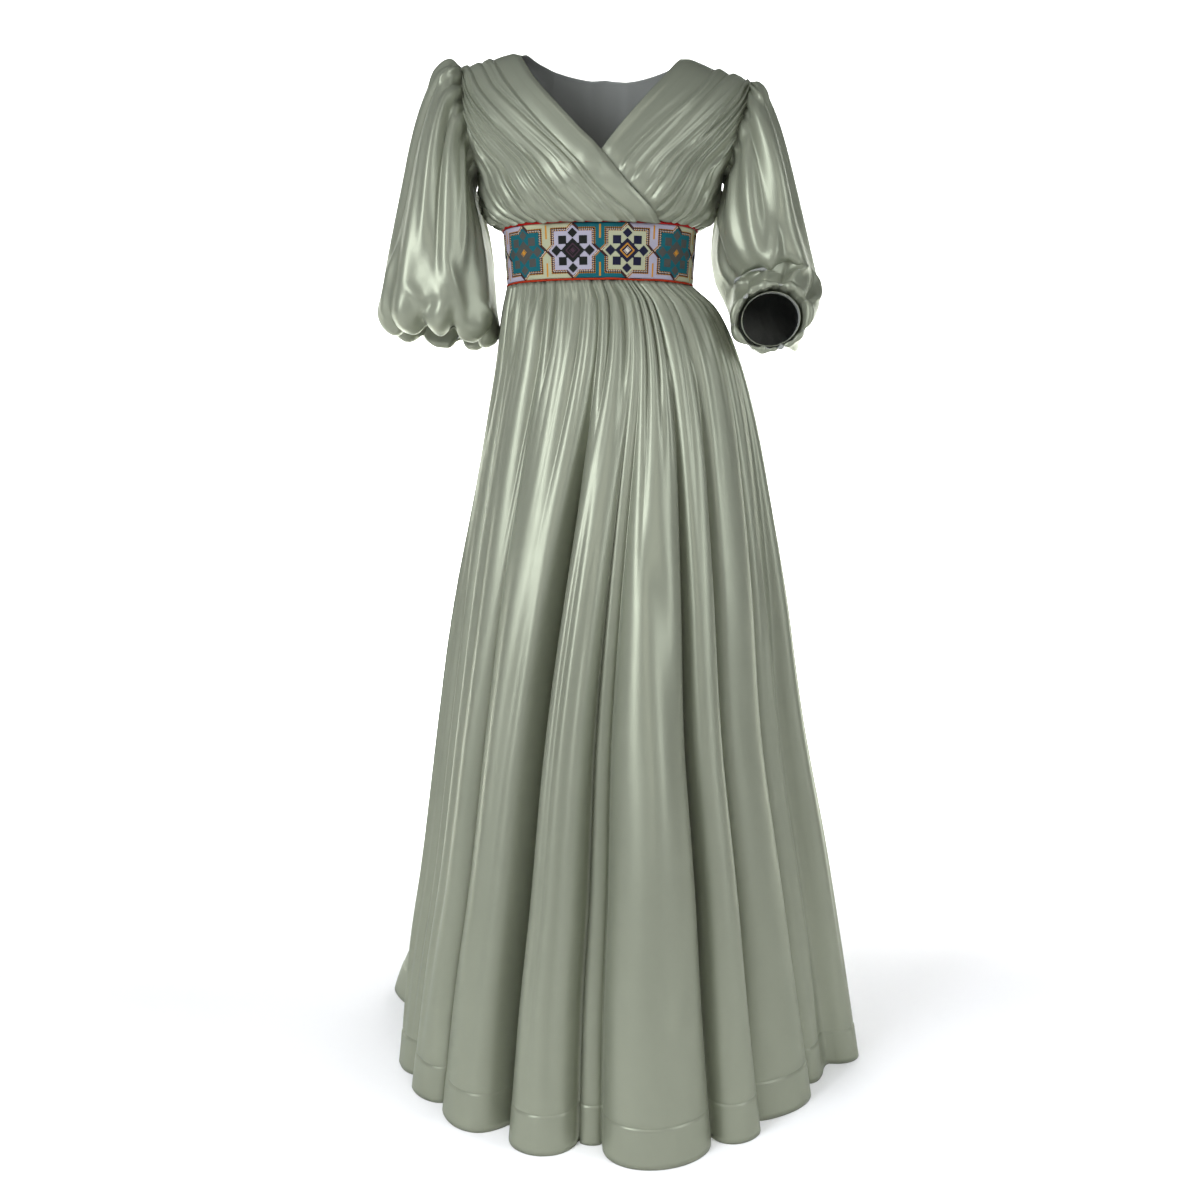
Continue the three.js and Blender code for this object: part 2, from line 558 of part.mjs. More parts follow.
const skirtRows = [...SKIRT_ROWS, 1 - HEM_DEPTH / (WAIST - HEM_HEIGHT), 1];
const skirtThickness = (down) => (down > 0.9 ? HEM_CLOTH : CLOTH);

// The band's ring narrows a little from the bodice to the waist
function bandSample(degrees, height) {
  const share = (BODICE_BOTTOM - height) / (BODICE_BOTTOM - WAIST);
  const [top, low] = [BODICE_RINGS[0], SKIRT_RINGS[0]];
  const ring = {
    half: lerp(top.half, low.half, share),
    front: lerp(top.front, low.front, share),
    back: lerp(top.back, low.back, share),
  };
  const point = ringPoint(ring, degrees);
  const normal = new THREE.Vector3(point.x / ring.half ** 2, point.y / ring.front ** 2, 0).normalize();
  point.z = height;
  return { point, normal, lift: 0 };
}

// A round cord laid along the band's edge
function cordGeometry(height, radius) {
  const positions = [];
  const faces = [];
  for (let i = 0; i < CORD_COLUMNS; i += 1) {
    const { point, normal } = bandSample((360 * i) / CORD_COLUMNS, height);
    point.addScaledVector(normal, BAND_WALL / 2);
    for (let j = 0; j < CORD_SIDES; j += 1) {
      const angle = (2 * Math.PI * j) / CORD_SIDES;
      const corner = point.clone().addScaledVector(normal, radius * Math.sin(angle));
      corner.z += radius * Math.cos(angle);
      positions.push(...corner.toArray());
      const [next, up] = [((i + 1) % CORD_COLUMNS) * CORD_SIDES, (j + 1) % CORD_SIDES];
      const here = i * CORD_SIDES;
      faces.push(here + j, next + j, next + up, here + j, next + up, here + up);
    }
  }
  return facingOut(positions, faces);
}

// A cuff hugs the arm inside the puffed end of its sleeve, sewn to the sleeve's last ring
function cuffSample(rings, side, inset, round, down) {
  const last = rings[rings.length - 1];
  const ring = sleeveRing(last, side);
  const angle = radians(round);
  const bend = radians(last.bend);
  const spoke = ring.out.clone().multiplyScalar(Math.cos(angle));
  spoke.addScaledVector(ring.front, Math.sin(angle));
  const onwards = new THREE.Vector3(0, -Math.sin(bend), -Math.cos(bend));
  const point = ring.middle.clone().add(spoke);
  point.addScaledVector(onwards, down);
  return { point, normal: spoke.normalize(), lift: -inset };
}

const satin = new THREE.MeshStandardMaterial({ color: 0x9aa68e, roughness: 0.38, metalness: 0.1 });
const embroidery = new THREE.MeshStandardMaterial({ color: 0x4e7f86, roughness: 0.85, metalness: 0 });
const redCord = new THREE.MeshStandardMaterial({ color: 0xb3261e, roughness: 0.7, metalness: 0 });

const dress = new THREE.Group();
function addPiece(name, geometry, material) {
  const piece = new THREE.Mesh(geometry, material);
  piece.name = name;
  dress.add(piece);
}

function addBodice() {
  const front = (name, shape, pleats) => {
    const sample = (share, along) => frontSample(shape, pleats, share, along);
    addPiece(name, clothWall(sample, pleatColumns(pleats.count), FRONT_ROWS, false, CLOTH), satin);
  };
  front('bodice_front_right', RIGHT_FRONT, RIGHT_PLEATS);
  front('bodice_front_left', LEFT_FRONT, LEFT_PLEATS);
  const columns = pleatColumns(BACK_PLEATS.count);
  addPiece('bodice_back', clothWall(backSample, columns, BACK_ROWS, false, CLOTH), satin);
}

function addBand() {
  const columns = steps(BAND_COLUMNS, 0, 360);
  const band = clothWall(bandSample, columns, [BAND_TOP, BAND_BOTTOM], true, BAND_WALL);
  addPiece('waistband', band, embroidery);
  addPiece('piping_top', cordGeometry(TOP_CORD_HEIGHT, TOP_CORD_RADIUS), redCord);
  addPiece('piping_bottom', cordGeometry(LOW_CORD_HEIGHT, LOW_CORD_RADIUS), redCord);
}

function addSkirt() {
  const sideSeam = SKIRT_FOLDS.findIndex((fold) => fold.waist === 90);
  const frontGathers = SKIRT_FOLDS.slice(0, sideSeam).reduce((sum, fold) => sum + fold.gathers, 0);
  const panel = (name, first, last) => {
    const [start, end] = [first + WHOLE_EDGE, last - WHOLE_EDGE];
    const columns = gatherColumns(first, last).map((gather) => clamp(gather, start, end));
    addPiece(name, clothWall(skirtSample, columns, skirtRows, false, skirtThickness), satin);
  };
  panel('skirt_front', 0, frontGathers);
  panel('skirt_back', frontGathers, GATHER_TOTAL);
}

function addSleeve(name, rings, side, cuffInset) {
  const sleeve = (round, down) => sleeveSample(rings, side, round, down);
  const cuff = (round, down) => cuffSample(rings, side, cuffInset, round, down);
  const sleeveWall = clothWall(sleeve, steps(SLEEVE_COLUMNS, 0, 360), SLEEVE_ROWS, true, CLOTH);
  const cuffWall = clothWall(cuff, steps(CUFF_COLUMNS, 0, 360), [0, CUFF_LENGTH], true, CLOTH);
  addPiece(`sleeve_${name}`, sleeveWall, satin);
  addPiece(`cuff_${name}`, cuffWall, satin);
}

addBodice();
addBand();
addSkirt();
addSleeve('right', RIGHT_SLEEVE_RINGS, -1, RIGHT_CUFF_INSET);
addSleeve('left', LEFT_SLEEVE_RINGS, 1, LEFT_CUFF_INSET);

export default dress;
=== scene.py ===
"""A pleated maxi dress of sage-green satin with an embroidered waistband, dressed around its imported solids.

Tables are in millimetres and degrees. The origin is between the shoulders, +Z up, and the front faces -Y.
"""

import bmesh
import bpy
import numpy as np
from mathutils import Matrix, Vector


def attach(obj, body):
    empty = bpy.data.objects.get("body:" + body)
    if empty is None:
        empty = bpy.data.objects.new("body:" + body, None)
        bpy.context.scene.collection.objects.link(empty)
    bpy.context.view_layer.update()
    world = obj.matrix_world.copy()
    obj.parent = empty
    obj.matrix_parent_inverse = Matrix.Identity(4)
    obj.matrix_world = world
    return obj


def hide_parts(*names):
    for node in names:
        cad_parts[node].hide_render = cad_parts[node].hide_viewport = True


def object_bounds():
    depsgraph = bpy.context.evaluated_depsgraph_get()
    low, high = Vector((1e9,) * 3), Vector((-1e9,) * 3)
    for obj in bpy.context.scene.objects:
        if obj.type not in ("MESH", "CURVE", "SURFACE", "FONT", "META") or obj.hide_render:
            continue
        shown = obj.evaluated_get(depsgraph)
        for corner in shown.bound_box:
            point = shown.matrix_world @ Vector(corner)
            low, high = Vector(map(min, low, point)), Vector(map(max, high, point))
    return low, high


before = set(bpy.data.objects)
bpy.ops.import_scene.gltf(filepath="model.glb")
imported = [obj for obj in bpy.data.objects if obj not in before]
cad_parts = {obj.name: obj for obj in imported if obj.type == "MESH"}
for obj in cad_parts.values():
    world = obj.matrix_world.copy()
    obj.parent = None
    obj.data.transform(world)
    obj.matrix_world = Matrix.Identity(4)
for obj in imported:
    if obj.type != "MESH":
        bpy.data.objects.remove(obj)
cad_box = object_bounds()


# The two fronts of the bodice. Each is one length of satin, laid in slanting knife pleats that run
# from the shoulder and the armhole down to the band. The right front laps over the left one, and
# both are cut full, so that they bag a little over the top of the band.
def table(columns, *rows):
    """Rows with named columns, as one array for each column."""
    return dict(zip(columns.split(), np.array(rows, float).T))


BODICE_BOTTOM = -241.7
BODICE_RINGS = table(
    "rise height half front back centre slope tilt",
    (0.0, BODICE_BOTTOM, 138, 103, 94, 0, 0, 0),
    (0.06, -229, 157, 113, 104, 0, 0, 0),
    (0.2, -197, 167, 126, 111, 0, 0, 0),
    (0.3, -170, 171, 128, 112, 1, 0, 0),
    (0.45, -128, 190, 119, 110, 2, 0.03, 0.01),
    (0.6, -84, 204, 103, 102, 4, 0.08, 0.02),
    (0.75, -39, 211, 81, 87, 6, 0.15, 0.03),
    (0.87, -3, 213, 57, 63, 8, 0.2, 0.04),
    (0.95, 17, 214, 33, 37, 8, 0.24, 0.044),
    (1.0, 24, 214, 0, 0, 8, 0.25, 0.044),
)
BODY_POWER = 0.82  # below 1 the rings are fuller than an ellipse
BUST = dict(out=76, height=-200, wide=58, tall=46, depth=12)  # fullness of each front
ARMHOLE_BOTTOM = 0.3
SHOULDER_TIP = 72
ARMHOLE = table(
    "rise round",
    (ARMHOLE_BOTTOM, 90),
    (0.325, 84),
    (0.38, 77),
    (0.48, 71),
    (0.62, 68),
    (0.8, 69),
    (1.0, SHOULDER_TIP),
)
CLOTH = 1.0  # wall of the satin, a stand-in for its own 0.4
SOLID_HALF = 0.6  # from the middle of a solid's wall to its face
PLEAT_STEPS = 16  # grid columns in each pleat of a front


def ease(value, low, high):
    """0 up to low, 1 from high on and a smooth step between them."""
    t = np.clip((value - low) / (high - low), 0, 1)
    return t * t * (3 - 2 * t)


def mix(a, b, share):
    return a + (b - a) * share


def row_at(rows, key, value):
    """The row of a table at any value of its key column, on a smooth curve through the rows."""
    keys = rows[key]
    value = np.clip(value, keys[0], keys[-1])
    low = np.clip(np.searchsorted(keys, value) - 1, 0, len(keys) - 2)
    high, before, after = low + 1, np.maximum(low - 1, 0), np.minimum(low + 2, len(keys) - 1)
    span = keys[high] - keys[low]
    t = (value - keys[low]) / span
    found = {}
    for column, of in rows.items():
        slope_low = (of[high] - of[before]) / (keys[high] - keys[before]) * span
        slope_high = (of[after] - of[low]) / (keys[after] - keys[low]) * span
        found[column] = (
            (2 * t**3 - 3 * t**2 + 1) * of[low]
            + (t**3 - 2 * t**2 + t) * slope_low
            + (3 * t**2 - 2 * t**3) * of[high]
            + (t**3 - t**2) * slope_high
        )
    return found


def ring_point(ring, degrees, power):
    """x and y on a ring of the body: 0 degrees is the middle of the front, 90 the wearer's left."""
    turn = np.radians(degrees)
    facing = np.cos(turn)
    depth = np.abs(facing) ** power
    return ring["half"] * np.sin(turn), np.where(facing >= 0, -ring["front"], ring["back"]) * depth


def bodice_form(degrees, rise):
    """The bodice without its pleats, from the band (rise 0) to the shoulder seam (rise 1)."""
    ring = row_at(BODICE_RINGS, "rise", rise)
    x, y = ring_point(ring, degrees, BODY_POWER)
    z = ring["height"] - ring["slope"] * np.abs(x) - ring["tilt"] * x
    aside = (np.abs(x) - BUST["out"]) / BUST["wide"]
    above = (z - BUST["height"]) / BUST["tall"]
    y = y - BUST["depth"] * np.exp(-(aside**2) - above**2) * ease(-y, 0, 40)
    return np.stack([x + ring["centre"], y, z], -1)


def spaced(*spans):
    """Steps along spans of start, end and count, where each span goes on from the one before."""
    steps = [np.linspace(*span) for span in spans]
    return np.concatenate([part[:-1] for part in steps[:-1]] + steps[-1:])


def finish_mesh(name, bm):
    """A smooth object from a bmesh, at the origin."""
    for face in bm.faces:
        face.smooth = True
    mesh = bpy.data.meshes.new(name)
    bm.to_mesh(mesh)
    bm.free()
    piece = bpy.data.objects.new(name, mesh)
    bpy.context.scene.collection.objects.link(piece)
    return piece


def lay_grid(name, points, ring=False, both=False):
    """A cloth grid through rows of points in millimetres, with its own UV map in metres."""
    down, across = points.shape[:2]
    bm = bmesh.new()
    bmesh.ops.create_grid(bm, x_segments=across - 1, y_segments=down - 1, size=1)
    bm.verts.ensure_lookup_table()
    flat = np.array([v.co for v in bm.verts])
    i = np.rint((flat[:, 0] + 1) / 2 * (across - 1)).astype(int)
    j = np.rint((1 - flat[:, 1]) / 2 * (down - 1)).astype(int)
    steps_across = np.linalg.norm(np.diff(points, axis=1), axis=2).mean(0)
    steps_down = np.linalg.norm(np.diff(points, axis=0), axis=2).mean(1)
    along = np.concatenate([[0], np.cumsum(steps_across)]) / 1000
    fall = np.concatenate([[0], np.cumsum(steps_down)]) / 1000
    uv = bm.loops.layers.uv.new("cloth")
    for face in bm.faces:
        for loop in face.loops:
            n = loop.vert.index
            loop[uv].uv = (along[i[n]], -fall[j[n]])
    for vert, place in zip(bm.verts, points[j, i] / 1000):
        vert.co = place
    if ring or both:
        bmesh.ops.remove_doubles(bm, verts=bm.verts, dist=1e-6)
    centre = points.reshape(-1, 3).mean(0) / 1000
    bm.normal_update()
    if sum(f.normal.dot(f.calc_center_median() - Vector(centre)) for f in bm.faces) < 0:
        bmesh.ops.reverse_faces(bm, faces=bm.faces)
    return finish_mesh(name, bm)


def outward(base, ring=False):
    """The outward normals of a grid of points."""
    across, down = np.gradient(base, axis=1), np.gradient(base, axis=0)
    if ring:
        across[:, 0] = across[:, -1] = base[:, 1] - base[:, -2]
    normal = np.cross(down, across)
    normal /= np.maximum(np.linalg.norm(normal, axis=2, keepdims=True), 1e-9)
    inside = base.mean((0, 1))
    return normal if ((base - inside) * normal).sum() > 0 else -normal


def creases(rows, across, down, size, period=None):
    """Soft ridges and troughs along bowed lines that are listed for a panel. A row has both ends in the
    panel's own coordinates, then bow, half width and height in millimetres."""
    total = np.zeros(np.broadcast(across, down).shape)
    for from_across, from_down, to_across, to_down, bow, wide, height in rows:
        away = across - from_across
        if period:
            away = (away + period / 2) % period - period / 2
        x, y = away * size[0], (down - from_down) * size[1]
        run = np.array([(to_across - from_across) * size[0], (to_down - from_down) * size[1]])
        long = np.hypot(*run)
        t = (x * run[0] + y * run[1]) / long**2
        off = (x * run[1] - y * run[0]) / long - bow * 4 * t * (1 - t)
        ends = ease(t, -0.08, 0.3) * (1 - ease(t, 0.7, 1.08))
        total += height * np.exp(-((off / wide) ** 2)) * ends
    return total


def drifting(across, down, seed):
    """Slow uneven swells of height 1, longer down the cloth than across it."""
    chance, waves = np.random.default_rng(seed), 7
    total = 0
    for _ in range(waves):
        u, v = chance.uniform(0.5, 1.6), chance.uniform(-0.35, 0.35)
        total = total + np.sin(2 * np.pi * (u * across + v * down + chance.uniform()))
    return total / waves**0.5


def front_outer_edge(share, neck):
    """Where a front's pleats start: along the shoulder, then the armhole, then the side seam."""
    shoulder, armhole, side_left = 0.34, 0.74, 0.035
    down_armhole = mix(1, ARMHOLE_BOTTOM, (share - shoulder) / (armhole - shoulder))
    down_side = mix(ARMHOLE_BOTTOM, side_left, (share - armhole) / (1 - armhole))
    at_armhole = row_at(ARMHOLE, "rise", down_armhole)["round"]
    rounds = [mix(neck, SHOULDER_TIP, share / shoulder), at_armhole]
    where = [share < shoulder, share < armhole]
    return np.select(where, rounds, 90), np.select(where, [1, down_armhole], down_side)


# Degrees round at the neck and at the band of a front's inner edge, then how far that edge bows.
RIGHT_FRONT = dict(side=-1, neck=32.6, foot=-36.5, bow=13.3, pleats=14, height=5.3)
LEFT_FRONT = dict(side=1, neck=29.8, foot=-25, bow=6, pleats=12, height=5.5)
OVERLAP_LIFT = 4.2  # how far the right front stands off over the left one


def front_line(front, share, along):
    """Degrees round and rise on a front's pleat line, from its outer edge down to the band."""
    start_round, start_rise = front_outer_edge(share, front["neck"])
    bent = front["bow"] * (1 - share) ** 1.5 * np.maximum(4 * along * (1 - along), 0) ** 0.6
    degrees = mix(start_round, mix(front["foot"], 90, share), along) + bent
    return front["side"] * degrees, mix(start_rise, 0, along)


def knife_pleats(share, along, count, seed):
    """Pleats of uneven width and height, with a steep side, a rounded top and a narrow valley."""
    chance = np.random.default_rng(seed)
    width = chance.uniform(0.6, 1.35, count)
    width[0] = 1.7
    height = chance.uniform(0.55, 1.2, count)
    second = chance.uniform(0, 0.3, count)
    sway = chance.uniform(-0.2, 0.2, (count + 1, 2))
    place = np.interp(share, np.concatenate([[0], np.cumsum(width)]) / width.sum(), np.arange(count + 1))
    line = np.clip(np.rint(place).astype(int), 0, count)
    swing = sway[line, 0] * np.sin(np.pi * along) + sway[line, 1] * np.sin(2.3 * np.pi * along)
    place = np.clip(place + swing * ease(place, 0, 1) * (1 - ease(place, count - 1, count)), 0, count)
    number = np.clip(np.floor(place - 1e-9).astype(int), 0, count - 1)
    across = np.clip(place - number, 0, 1)
    steep = ease(across, -0.05, 0.26) * (1 - across**1.6) ** 0.75
    fine = second[number] * np.sin(3 * np.pi * across) ** 2 * np.sin(np.pi * np.clip(along, 0, 1))
    swell = 0.72 + 0.28 * np.sin(2 * np.pi * np.clip(along, 0, 1)) ** 2
    return (steep - fine) * height[number] * swell


def make_front(name, front, folds, seed):
    """One front, laid in its pleats over or under the other one."""
    across = np.linspace(0, 1, front["pleats"] * PLEAT_STEPS + 1)
    down = spaced((0, 0.12, 15), (0.12, 0.86, 62), (0.86, 1, 20))
    share, along = np.meshgrid(across, down)
    degrees, rise = front_line(front, share, along)
    base = bodice_form(degrees, rise)
    lift = front["height"] * knife_pleats(share, along, front["pleats"], seed)
    if front is RIGHT_FRONT:
        under = front_line(LEFT_FRONT, 0 * rise, 1 - rise)[0]
        lift = lift + OVERLAP_LIFT * ease(degrees - under + 16, 0, 12)
    else:
        over = front_line(RIGHT_FRONT, 0 * rise, 1 - rise)[0]
        lift = lift * ease(degrees - over, 0, 7)
    lift = lift + creases(folds, share, along, (330, 300)) + 0.5 * drifting(5 * share, 2 * along, seed)
    return lay_grid(name, base + outward(base) * (lift + CLOTH / 2)[..., None])


def start_material(title, **kinds):
    """A new material with its shader nodes by name, its call that links them and its main shader."""
    material = bpy.data.materials.new(title)
    material.use_nodes = True
    tree = material.node_tree
    made = {name: tree.nodes.new("ShaderNode" + kind) for name, kind in kinds.items()}
    return material, made, tree.links.new, tree.nodes["Principled BSDF"]


def satin(name, light, dark, roughness, metallic):
    """Satin: long warp floats over a soft hand-worn surface, read from the cloth's own UV map."""
    material, n, link, shader = start_material(
        name,
        place="TexCoord",
        cloth="UVMap",
        threads="Mapping",
        floats="TexNoise",
        tone="TexNoise",
        wear="TexNoise",
        colour="Mix",
        gloss="MapRange",
        soft="Bump",
        weave="Bump",
    )
    n["cloth"].uv_map = "cloth"
    n["threads"].inputs["Scale"].default_value = (4200, 260, 1)
    n["floats"].inputs["Scale"].default_value = 1
    n["floats"].inputs["Detail"].default_value = 2
    n["tone"].inputs["Scale"].default_value = 5
    n["tone"].inputs["Detail"].default_value = 3
    n["wear"].inputs["Scale"].default_value = 26
    n["wear"].inputs["Detail"].default_value = 3
    n["wear"].inputs["Distortion"].default_value = 0.8
    n["colour"].data_type = "RGBA"
    n["colour"].inputs["A"].default_value = (*light, 1)
    n["colour"].inputs["B"].default_value = (*dark, 1)
    n["gloss"].inputs["To Min"].default_value = roughness - 0.04
    n["gloss"].inputs["To Max"].default_value = roughness + 0.05
    n["soft"].inputs["Strength"].default_value = 0.12
    n["soft"].inputs["Distance"].default_value = 0.0016
    n["weave"].inputs["Strength"].default_value = 0.25
    n["weave"].inputs["Distance"].default_value = 0.00006
    link(n["cloth"].outputs["UV"], n["threads"].inputs["Vector"])
    link(n["threads"].outputs["Vector"], n["floats"].inputs["Vector"])
    link(n["place"].outputs["Object"], n["tone"].inputs["Vector"])
    link(n["place"].outputs["Object"], n["wear"].inputs["Vector"])
    link(n["tone"].outputs["Fac"], n["colour"].inputs["Factor"])
    link(n["colour"].outputs["Result"], shader.inputs["Base Color"])
    link(n["wear"].outputs["Fac"], n["gloss"].inputs["Value"])
    link(n["gloss"].outputs["Result"], shader.inputs["Roughness"])
    link(n["wear"].outputs["Fac"], n["soft"].inputs["Height"])
    link(n["floats"].outputs["Fac"], n["weave"].inputs["Height"])
    link(n["soft"].outputs["Normal"], n["weave"].inputs["Normal"])
    link(n["weave"].outputs["Normal"], shader.inputs["Normal"])
    shader.inputs["Metallic"].default_value = metallic
    shader.inputs["Specular IOR Level"].default_value = 0.3
    shader.inputs["Specular Tint"].default_value = (0.5, 0.55, 0.42, 1)
    return material


RIGHT_SIDE = satin("sage_satin", (0.3, 0.316, 0.242), (0.25, 0.266, 0.2), 0.39, 0.36)
WRONG_SIDE = satin("satin_reverse", (0.36, 0.37, 0.345), (0.31, 0.32, 0.3), 0.6, 0.05)


def finish_cloth(piece, node):
    """Gives a satin piece its wall, its two faces and its place on the dress."""
    piece.data.materials.append(RIGHT_SIDE)
    piece.data.materials.append(WRONG_SIDE)
    wall = piece.modifiers.new("cloth", "SOLIDIFY")
    wall.thickness = CLOTH / 1000
    wall.offset = 0
    wall.material_offset = 1
    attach(piece, "root")
    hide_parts(node)


RIGHT_FRONT_FOLDS = (
    (0.14, 0.62, 0.12, 0.98, 3, 2.6, -2.4),
    (0.23, 0.7, 0.22, 0.99, -2, 2.4, -2.0),
    (0.31, 0.58, 0.33, 0.98, 3, 2.8, -2.6),
    (0.42, 0.66, 0.43, 0.99, 2, 2.4, -2.2),
    (0.52, 0.5, 0.56, 0.97, -4, 3.0, -2.8),
    (0.63, 0.6, 0.66, 0.98, 3, 2.6, -2.2),
    (0.28, 0.12, 0.33, 0.5, 4, 3.2, 2.0),
    (0.47, 0.08, 0.5, 0.42, -3, 3.0, -2.2),
    (0.58, 0.1, 0.64, 0.5, 4, 3.4, 2.4),
    (0.74, 0.1, 0.8, 0.5, 6, 5, 4.5),
    (0.8, 0.06, 0.9, 0.42, -5, 4.5, -4.5),
    (0.78, 0.45, 0.88, 0.86, 6, 6, 4.5),
    (0.88, 0.2, 0.93, 0.7, -5, 5, 4),
    (0.93, 0.5, 0.85, 0.9, 4, 4.5, -4),
    (0.97, 0.35, 0.9, 0.75, 4, 4, -3),
)
LEFT_FRONT_FOLDS = (
    (0.3, 0.3, 0.36, 0.66, 4, 3.2, 2.6),
    (0.41, 0.1, 0.44, 0.5, -4, 3.2, -2.6),
    (0.5, 0.45, 0.52, 0.95, 3, 2.6, -2.6),
    (0.6, 0.2, 0.64, 0.62, 5, 3.6, 2.8),
    (0.66, 0.62, 0.68, 0.98, -3, 2.8, -2.6),
    (0.72, 0.08, 0.8, 0.46, 5, 4.6, 4.4),
    (0.8, 0.1, 0.9, 0.46, -5, 4.4, -4.6),
    (0.79, 0.5, 0.87, 0.88, 6, 5.6, 4.6),
    (0.9, 0.22, 0.93, 0.66, -5, 5, 4.4),
    (0.94, 0.5, 0.86, 0.92, 4, 4.4, -4.2),
    (0.97, 0.3, 0.92, 0.72, 4, 4, -3),
)
over_front = make_front("right_front_cloth", RIGHT_FRONT, RIGHT_FRONT_FOLDS, 3)
finish_cloth(over_front, "bodice_front_right")
under_front = make_front("left_front_cloth", LEFT_FRONT, LEFT_FRONT_FOLDS, 4)
finish_cloth(under_front, "bodice_front_left")


# The back of the bodice is one panel in shallower pleats, cut low at the nape, and sewn to the
# fronts at the shoulders and sides.
BACK_NECK = dict(round=31, drop=0.17)
BACK_PLEATS = 14
BACK_FOLDS = (
    (0.05, 0.2, 0.12, 0.6, 5, 5, 4),
    (0.1, 0.3, 0.04, 0.8, -4, 4.5, -3.5),
    (0.2, 0.4, 0.24, 0.9, 4, 4, -2.6),
    (0.37, 0.5, 0.36, 0.95, -3, 3.4, 2.4),
    (0.55, 0.46, 0.57, 0.93, 4, 3.4, -2.4),
    (0.7, 0.3, 0.67, 0.86, -4, 4, 2.8),
    (0.83, 0.35, 0.8, 0.9, 4, 4.4, -3),
    (0.9, 0.2, 0.95, 0.66, 5, 4.6, 4),
    (0.97, 0.4, 0.91, 0.82, 4, 4, -3.4),
)


def back_upper_edge(share):
    """Degrees from the middle of the back and rise of the panel's upper edge."""
    armhole, shoulder = 0.2, 0.36
    from_side = np.minimum(share, 1 - share)
    up = mix(ARMHOLE_BOTTOM, 1, np.clip(from_side / armhole, 0, 1))
    inward = np.clip((from_side - shoulder) / (0.5 - shoulder), 0, 1)
    at_armhole = row_at(ARMHOLE, "rise", up)["round"]
    at_shoulder = mix(SHOULDER_TIP, BACK_NECK["round"], (from_side - armhole) / (shoulder - armhole))
    where = [from_side < armhole, from_side < shoulder]
    rounds = np.select(where, [at_armhole, at_shoulder], mix(BACK_NECK["round"], 0, inward))
    low_neck = 1 - BACK_NECK["drop"] * np.sin(inward * np.pi / 2) ** 0.8
    return np.where(share < 0.5, -rounds, rounds), np.select(where, [up, 1 + 0 * up], low_neck)


def make_back():
    """The back panel, with its pleats flattest halfway down."""
    down = spaced((0, 0.1, 13), (0.1, 0.88, 56), (0.88, 1, 18))
    share, along = np.meshgrid(np.linspace(0, 1, BACK_PLEATS * 11 + 1), down)
    away, start = back_upper_edge(share)
    degrees = mix(180 + away, 90 + 180 * share, along)
    rise = mix(start, 0, along)
    base = bodice_form(np.clip(degrees, 90.0001, 269.9999), rise)
    lift = 3.6 * knife_pleats(share, along, BACK_PLEATS, 8) * (0.55 + 0.45 * np.abs(2 * along - 1))
    lift = lift + creases(BACK_FOLDS, share, along, (560, 300)) + 0.5 * drifting(6 * share, 2 * along, 9)
    return lay_grid("back_cloth", base + outward(base) * (lift + CLOTH / 2)[..., None])


finish_cloth(make_back(), "bodice_back")


# The waistband is a stiff lined band, covered edge to edge in counted cross-stitch: a traditional
# repeat of eight-pointed stars in three colourings, ten of them round the waist.
BAND_TOP, BAND_BOTTOM = -246.1, -320.1
WAIST = 323.3  # how far the skirt's gathered edge lies below the shoulders
TILE = 60  # stitches in one star each way
STARS = 10
BAND_WALL = 2.2


def band_form(degrees, height):
    """The band's ring, which narrows a little from the bodice to the waist."""
    share = (BODICE_BOTTOM - height) / (WAIST + BODICE_BOTTOM)
    ring = dict(half=mix(138, 132, share), front=mix(103, 98, share), back=mix(94, 90, share))
    x, y = ring_point(ring, degrees, BODY_POWER)
    normal = np.stack([x / ring["half"] ** 2, y / ring["front"] ** 2, 0 * x], -1)
    normal /= np.linalg.norm(normal, axis=-1, keepdims=True)
    return np.stack([x, y, height + 0 * x], -1), normal


THREADS = dict(
    teal=(0.008, 0.12, 0.145),
    lilac=(0.43, 0.41, 0.49),
    cream=(0.45, 0.46, 0.30),
    black=(0.012, 0.014, 0.012),
    navy=(0.012, 0.012, 0.035),
    grey=(0.075, 0.078, 0.07),
    gold=(0.55, 0.25, 0.03),
    brown=(0.045, 0.016, 0.014),
    white=(0.66, 0.6, 0.52),
    plum=(0.06, 0.03, 0.045),
)
COLOURINGS = (  # ground, star, centre and ring of the star at each place in the repeat
    ("teal", "grey", "gold", "grey"),
    ("lilac", "black", "plum", "plum"),
    ("cream", "navy", "white", "gold"),
)
FILLS = ("teal", "lilac", "cream")
MOTIF_THREADS, MOTIF_RAISED = ["black", "navy", "grey"], 0.16
OUTLINE_THREADS, OUTLINE_RAISED = ["brown", "gold", "white"], 0.3


